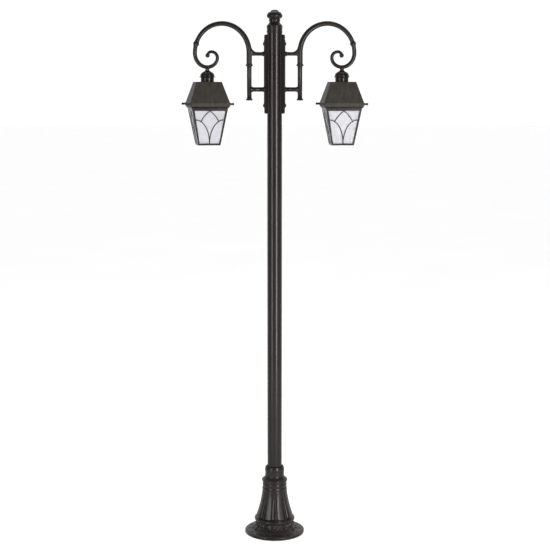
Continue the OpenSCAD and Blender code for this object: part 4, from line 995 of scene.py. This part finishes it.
def slab(front, back):
    """A closed sheet from two grids of points: both faces, and a strip round their rims."""
    rows, columns = front.shape[:2]
    index = np.arange(rows * columns).reshape(rows, columns)
    face = np.stack([index[:-1, :-1], index[:-1, 1:], index[1:, 1:], index[1:, :-1]], -1).reshape(-1, 4)
    rim = np.concatenate([index[0, :-1], index[:-1, -1], index[-1, :0:-1], index[:0:-1, 0]])
    after = np.roll(rim, -1)
    more = rows * columns
    edge = np.stack([rim, rim + more, after + more, after], -1)
    points = np.concatenate([front.reshape(-1, 3), back.reshape(-1, 3)])
    return outward(points, np.concatenate([face, face[:, ::-1] + more, edge]), np.zeros((0, 3), int))


pane_low, pane_high = 6 / math.cos(tilt) + 0.5, slope_h - 3
v, u = np.meshgrid(np.linspace(pane_low, pane_high, 70), np.linspace(-1, 1, 56), indexing="ij")
panes = []
for k in range(4):
    inset = WALL / math.cos(tilt) + (0.4 if k % 2 == 0 else GLASS + 1)
    across = u * (BODY_FOOT + (BODY_TOP - BODY_FOOT) / slope_h * v - inset)
    wave = ripple(across, v, k)
    front, back = (on_wall(np.stack([across, WALL + 0.25 + d + wave, v], -1), k)
                   for d in (0, GLASS - 0.4))
    panes.append(slab(front, back))
PANE_CREASE = 40
on_lanterns("panes", panes, "glazed_body", "frosted_glass", "glass_panes", PANE_CREASE)
print("a pane is", round(pane_high - pane_low), "mm high")

# %% [markdown]
# ## Tracery
# Two bowed legs run down from the top of each window to a point at its sides, where they cross a sweep
# that starts at the corner post and falls to the middle of the foot: the outline of a pointed arch and
# of a leaf. Each strip is a small eased bar carried along its curve in the plane of the wall.

# %% Curves and strips of the tracery
STRIP, STRIP_T = 4.8, 2.4
window_h = window_high - window_low
t = np.linspace(-0.03, 1.0, 40)[:, None]
top_point = np.array([0.0, window_high])
node_point = np.array([0.6 * WINDOW_TOP, window_high - 0.343 * window_h])
across_leg = node_point - top_point
bow = np.array([-across_leg[1], across_leg[0]]) / np.linalg.norm(across_leg)
leg = top_point + across_leg * t + bow * 4.5 * 4 * t * (1 - t)
turn = np.radians(90 * np.linspace(-0.04, 1.02, 60))
spring_h = window_high - 0.277 * window_h
edge = WINDOW_FOOT + (WINDOW_TOP - WINDOW_FOOT) * (spring_h - window_low) / window_h
sweep = np.stack([edge * (1 - np.sin(turn)), window_low + (spring_h - window_low) * np.cos(turn)], -1)
bar = rounded([(-STRIP / 2, 0, 0.9), (STRIP / 2, 0, 0.9), (STRIP / 2, STRIP_T, 0.4),
               (-STRIP / 2, STRIP_T, 0.4)], True, 4)


def strip(curve):
    """The bar carried along a curve of (along the wall, up the slope), just in front of the pane."""
    ahead = headings(curve)
    place = np.stack([curve[:, 0], np.full(len(curve), 0.5), curve[:, 1]], -1)
    side = np.stack([-ahead[:, 1], np.zeros(len(curve)), ahead[:, 0]], -1)
    return carried(place, side, steady((0, 1, 0), curve), bar)


strips = [strip(c * np.array([s, 1])) for c in (leg, sweep) for s in (1, -1)]
on_lanterns("tracery_strips", wall_skins(strips), "glazed_body", "sheet_bronze_coat", "tracery")
print("each window has", len(strips), "strips")

# %% [markdown]
# ## Thumb screws
# Four turned knobs at the eave lock the glazed body: a flange, a slender waist and a round end. Each
# one can be turned, so each rides on its own body. One knob is made along X, and the other seven are
# that knob mirrored and moved, because that keeps all eight alike.

# %% The eight knobs
knob = [(0, -4.6), (2.5, -4.6), (2.5, 0), (6.3, 0.1, 0.5), (6.4, 3, 0.9), (5.2, 5, 1.5), (5, 9.6, 4),
        (5.4, 12.6, 1.5), (6.4, 13.6, 1.2), (6.5, 19.4, 1.6), (3.4, 21.2, 1.6), (0, 21.4)]
knob_skin = placed(turned(rounded(knob), sides=32), ALONG_X, (EAVE, 0, eave_z + 13))
for word in SIDES:
    for k in range(4):
        flip = MIRROR_X if k % 2 == 0 else None
        shape = placed(knob_skin, flip, (0, -SCREW_Y if k < 2 else SCREW_Y, 0))
        name = f"{word}_thumb_screw_{k + 1}"
        piece(f"{word}_knob_{k + 1}", hung([shape], word), name, "coated_bolts", [name])
print("knobs stand out", knob[-1][1], "mm")

# %% [markdown]
# ## The CAD nodes that stay
# Screws, studs, the holder and the lamp are already right as solids. They keep their meshes and only
# get the finish of their material slot, so they also have grain, colour changes and gloss.

# %% Finishes for the carried-over nodes
slots = {row["node"]: row["material_slot"] for row in frame["record"]["subparts"]}
kept = [n for n, o in frame["nodes"].items() if not o.hide_render]
for name in kept:
    for slot in frame["nodes"][name].material_slots:
        slot.material = finishes[slots[name]]
print(len(kept), "nodes stay:", ", ".join(sorted(kept)))
print(sum(count for _, count in made), "triangles in", len(made), "new pieces")

# %% [markdown]
# ## Studio
# The post stands on a pale floor. Its dark gloss shows only what it mirrors, so two tall narrow lights
# stand in front, left and right, and draw the two long highlights down the tube. A soft sun from above
# and a little behind keeps the floor pale. The sky could be one even white, but then the whole coat
# would mirror it and turn grey. So it is bright behind the post and dark in front, and only the camera
# itself sees it white.


# %% Floor and lights
def area_light(name, place, size, power, target):
    """A flat light of (wide, tall) that faces its target: tipped by the angle between straight down and
    the way to the target, and turned about the upright by that way's heading."""
    light = bpy.data.lights.new(name, "AREA")
    light.shape, light.energy = "RECTANGLE", power
    light.size, light.size_y = size
    lamp = bpy.data.objects.new(name, light)
    lamp.location = place
    way = np.array(target, float) - place
    tip = math.atan2(math.hypot(way[0], way[1]), -way[2])
    lamp.rotation_euler = (tip, 0, math.atan2(-way[0], way[1]))
    bpy.context.scene.collection.objects.link(lamp)


FLOOR = 60.0
ground = bpy.data.meshes.new("floor")
ground.from_pydata([(x * FLOOR, y * FLOOR, 0) for x, y in ((-1, -1), (1, -1), (1, 1), (-1, 1))], [],
                   [(0, 1, 2, 3)])
pale = Finish("studio_floor", (0.9, 0.9, 0.9), Roughness=0.7)
pale.feed(Base_Color=pale.blend(pale.noise(0.8, 2), tone(0.9, 0.9, 0.9), tone(0.93, 0.93, 0.93)))
ground.materials.append(pale.material)
floor = bpy.data.objects.new("floor", ground)
bpy.context.scene.collection.objects.link(floor)
area_light("left_strip", (-2.6, -3.1, 1.5), (0.45, 3.4), 120, (0, 0, 1.4))
area_light("right_strip", (2.1, -3.4, 1.5), (0.7, 3.4), 250, (0, 0, 1.4))
sun = bpy.data.lights.new("sky_sun", "SUN")
sun.energy, sun.angle = 1.9, math.radians(50)
high_sun = bpy.data.objects.new("sky_sun", sun)
high_sun.rotation_euler = (math.radians(-24), 0, 0)
bpy.context.scene.collection.objects.link(high_sun)
print("a floor, two strip lights and a soft sun")

# %% The sky
FRONT_SKY, BACK_SKY = 0.1, 1.05
world = bpy.data.worlds.new("studio")
bpy.context.scene.world = world
world.use_nodes = True
sky, links = world.node_tree.nodes, world.node_tree.links
direction, parts, fade, seen, stronger = (
    sky.new("ShaderNode" + kind) for kind in ("TexCoord", "SeparateXYZ", "MapRange", "LightPath", "Math"))
stronger.operation = "MAXIMUM"
links.new(direction.outputs["Generated"], parts.inputs[0])
links.new(parts.outputs["Y"], fade.inputs["Value"])
ends = {"From Min": -0.15, "From Max": 0.5, "To Min": FRONT_SKY, "To Max": BACK_SKY}
for socket, value in ends.items():
    fade.inputs[socket].default_value = value
links.new(fade.outputs[0], stronger.inputs[0])
links.new(seen.outputs["Is Camera Ray"], stronger.inputs[1])
links.new(stronger.outputs[0], sky["Background"].inputs["Strength"])
sky["Background"].inputs["Color"].default_value = (1.0, 1.0, 1.0, 1)
bpy.context.scene.view_settings.view_transform = "Standard"
print("the sky's strength goes from", FRONT_SKY, "in front to", BACK_SKY, "behind")

# %% [markdown]
# ## Camera
# The camera stands well back in front, about as high as the lanterns, and looks down a little. A long
# lens from far away keeps the post's edges nearly parallel; a short lens would make the foot too small.

# %% Camera
LOOKS_DOWN = 8.67
eye = bpy.data.cameras.new("eye")
eye.lens, eye.sensor_width, eye.clip_end = 84.2, 36.0, 200.0
camera = bpy.data.objects.new("eye", eye)
camera.location = (0.002, -6.6, 2.39)
camera.rotation_euler = (math.radians(90 - LOOKS_DOWN), 0, 0)
bpy.context.scene.collection.objects.link(camera)
bpy.context.scene.camera = camera
print("camera at", tuple(round(c, 2) for c in camera.location))
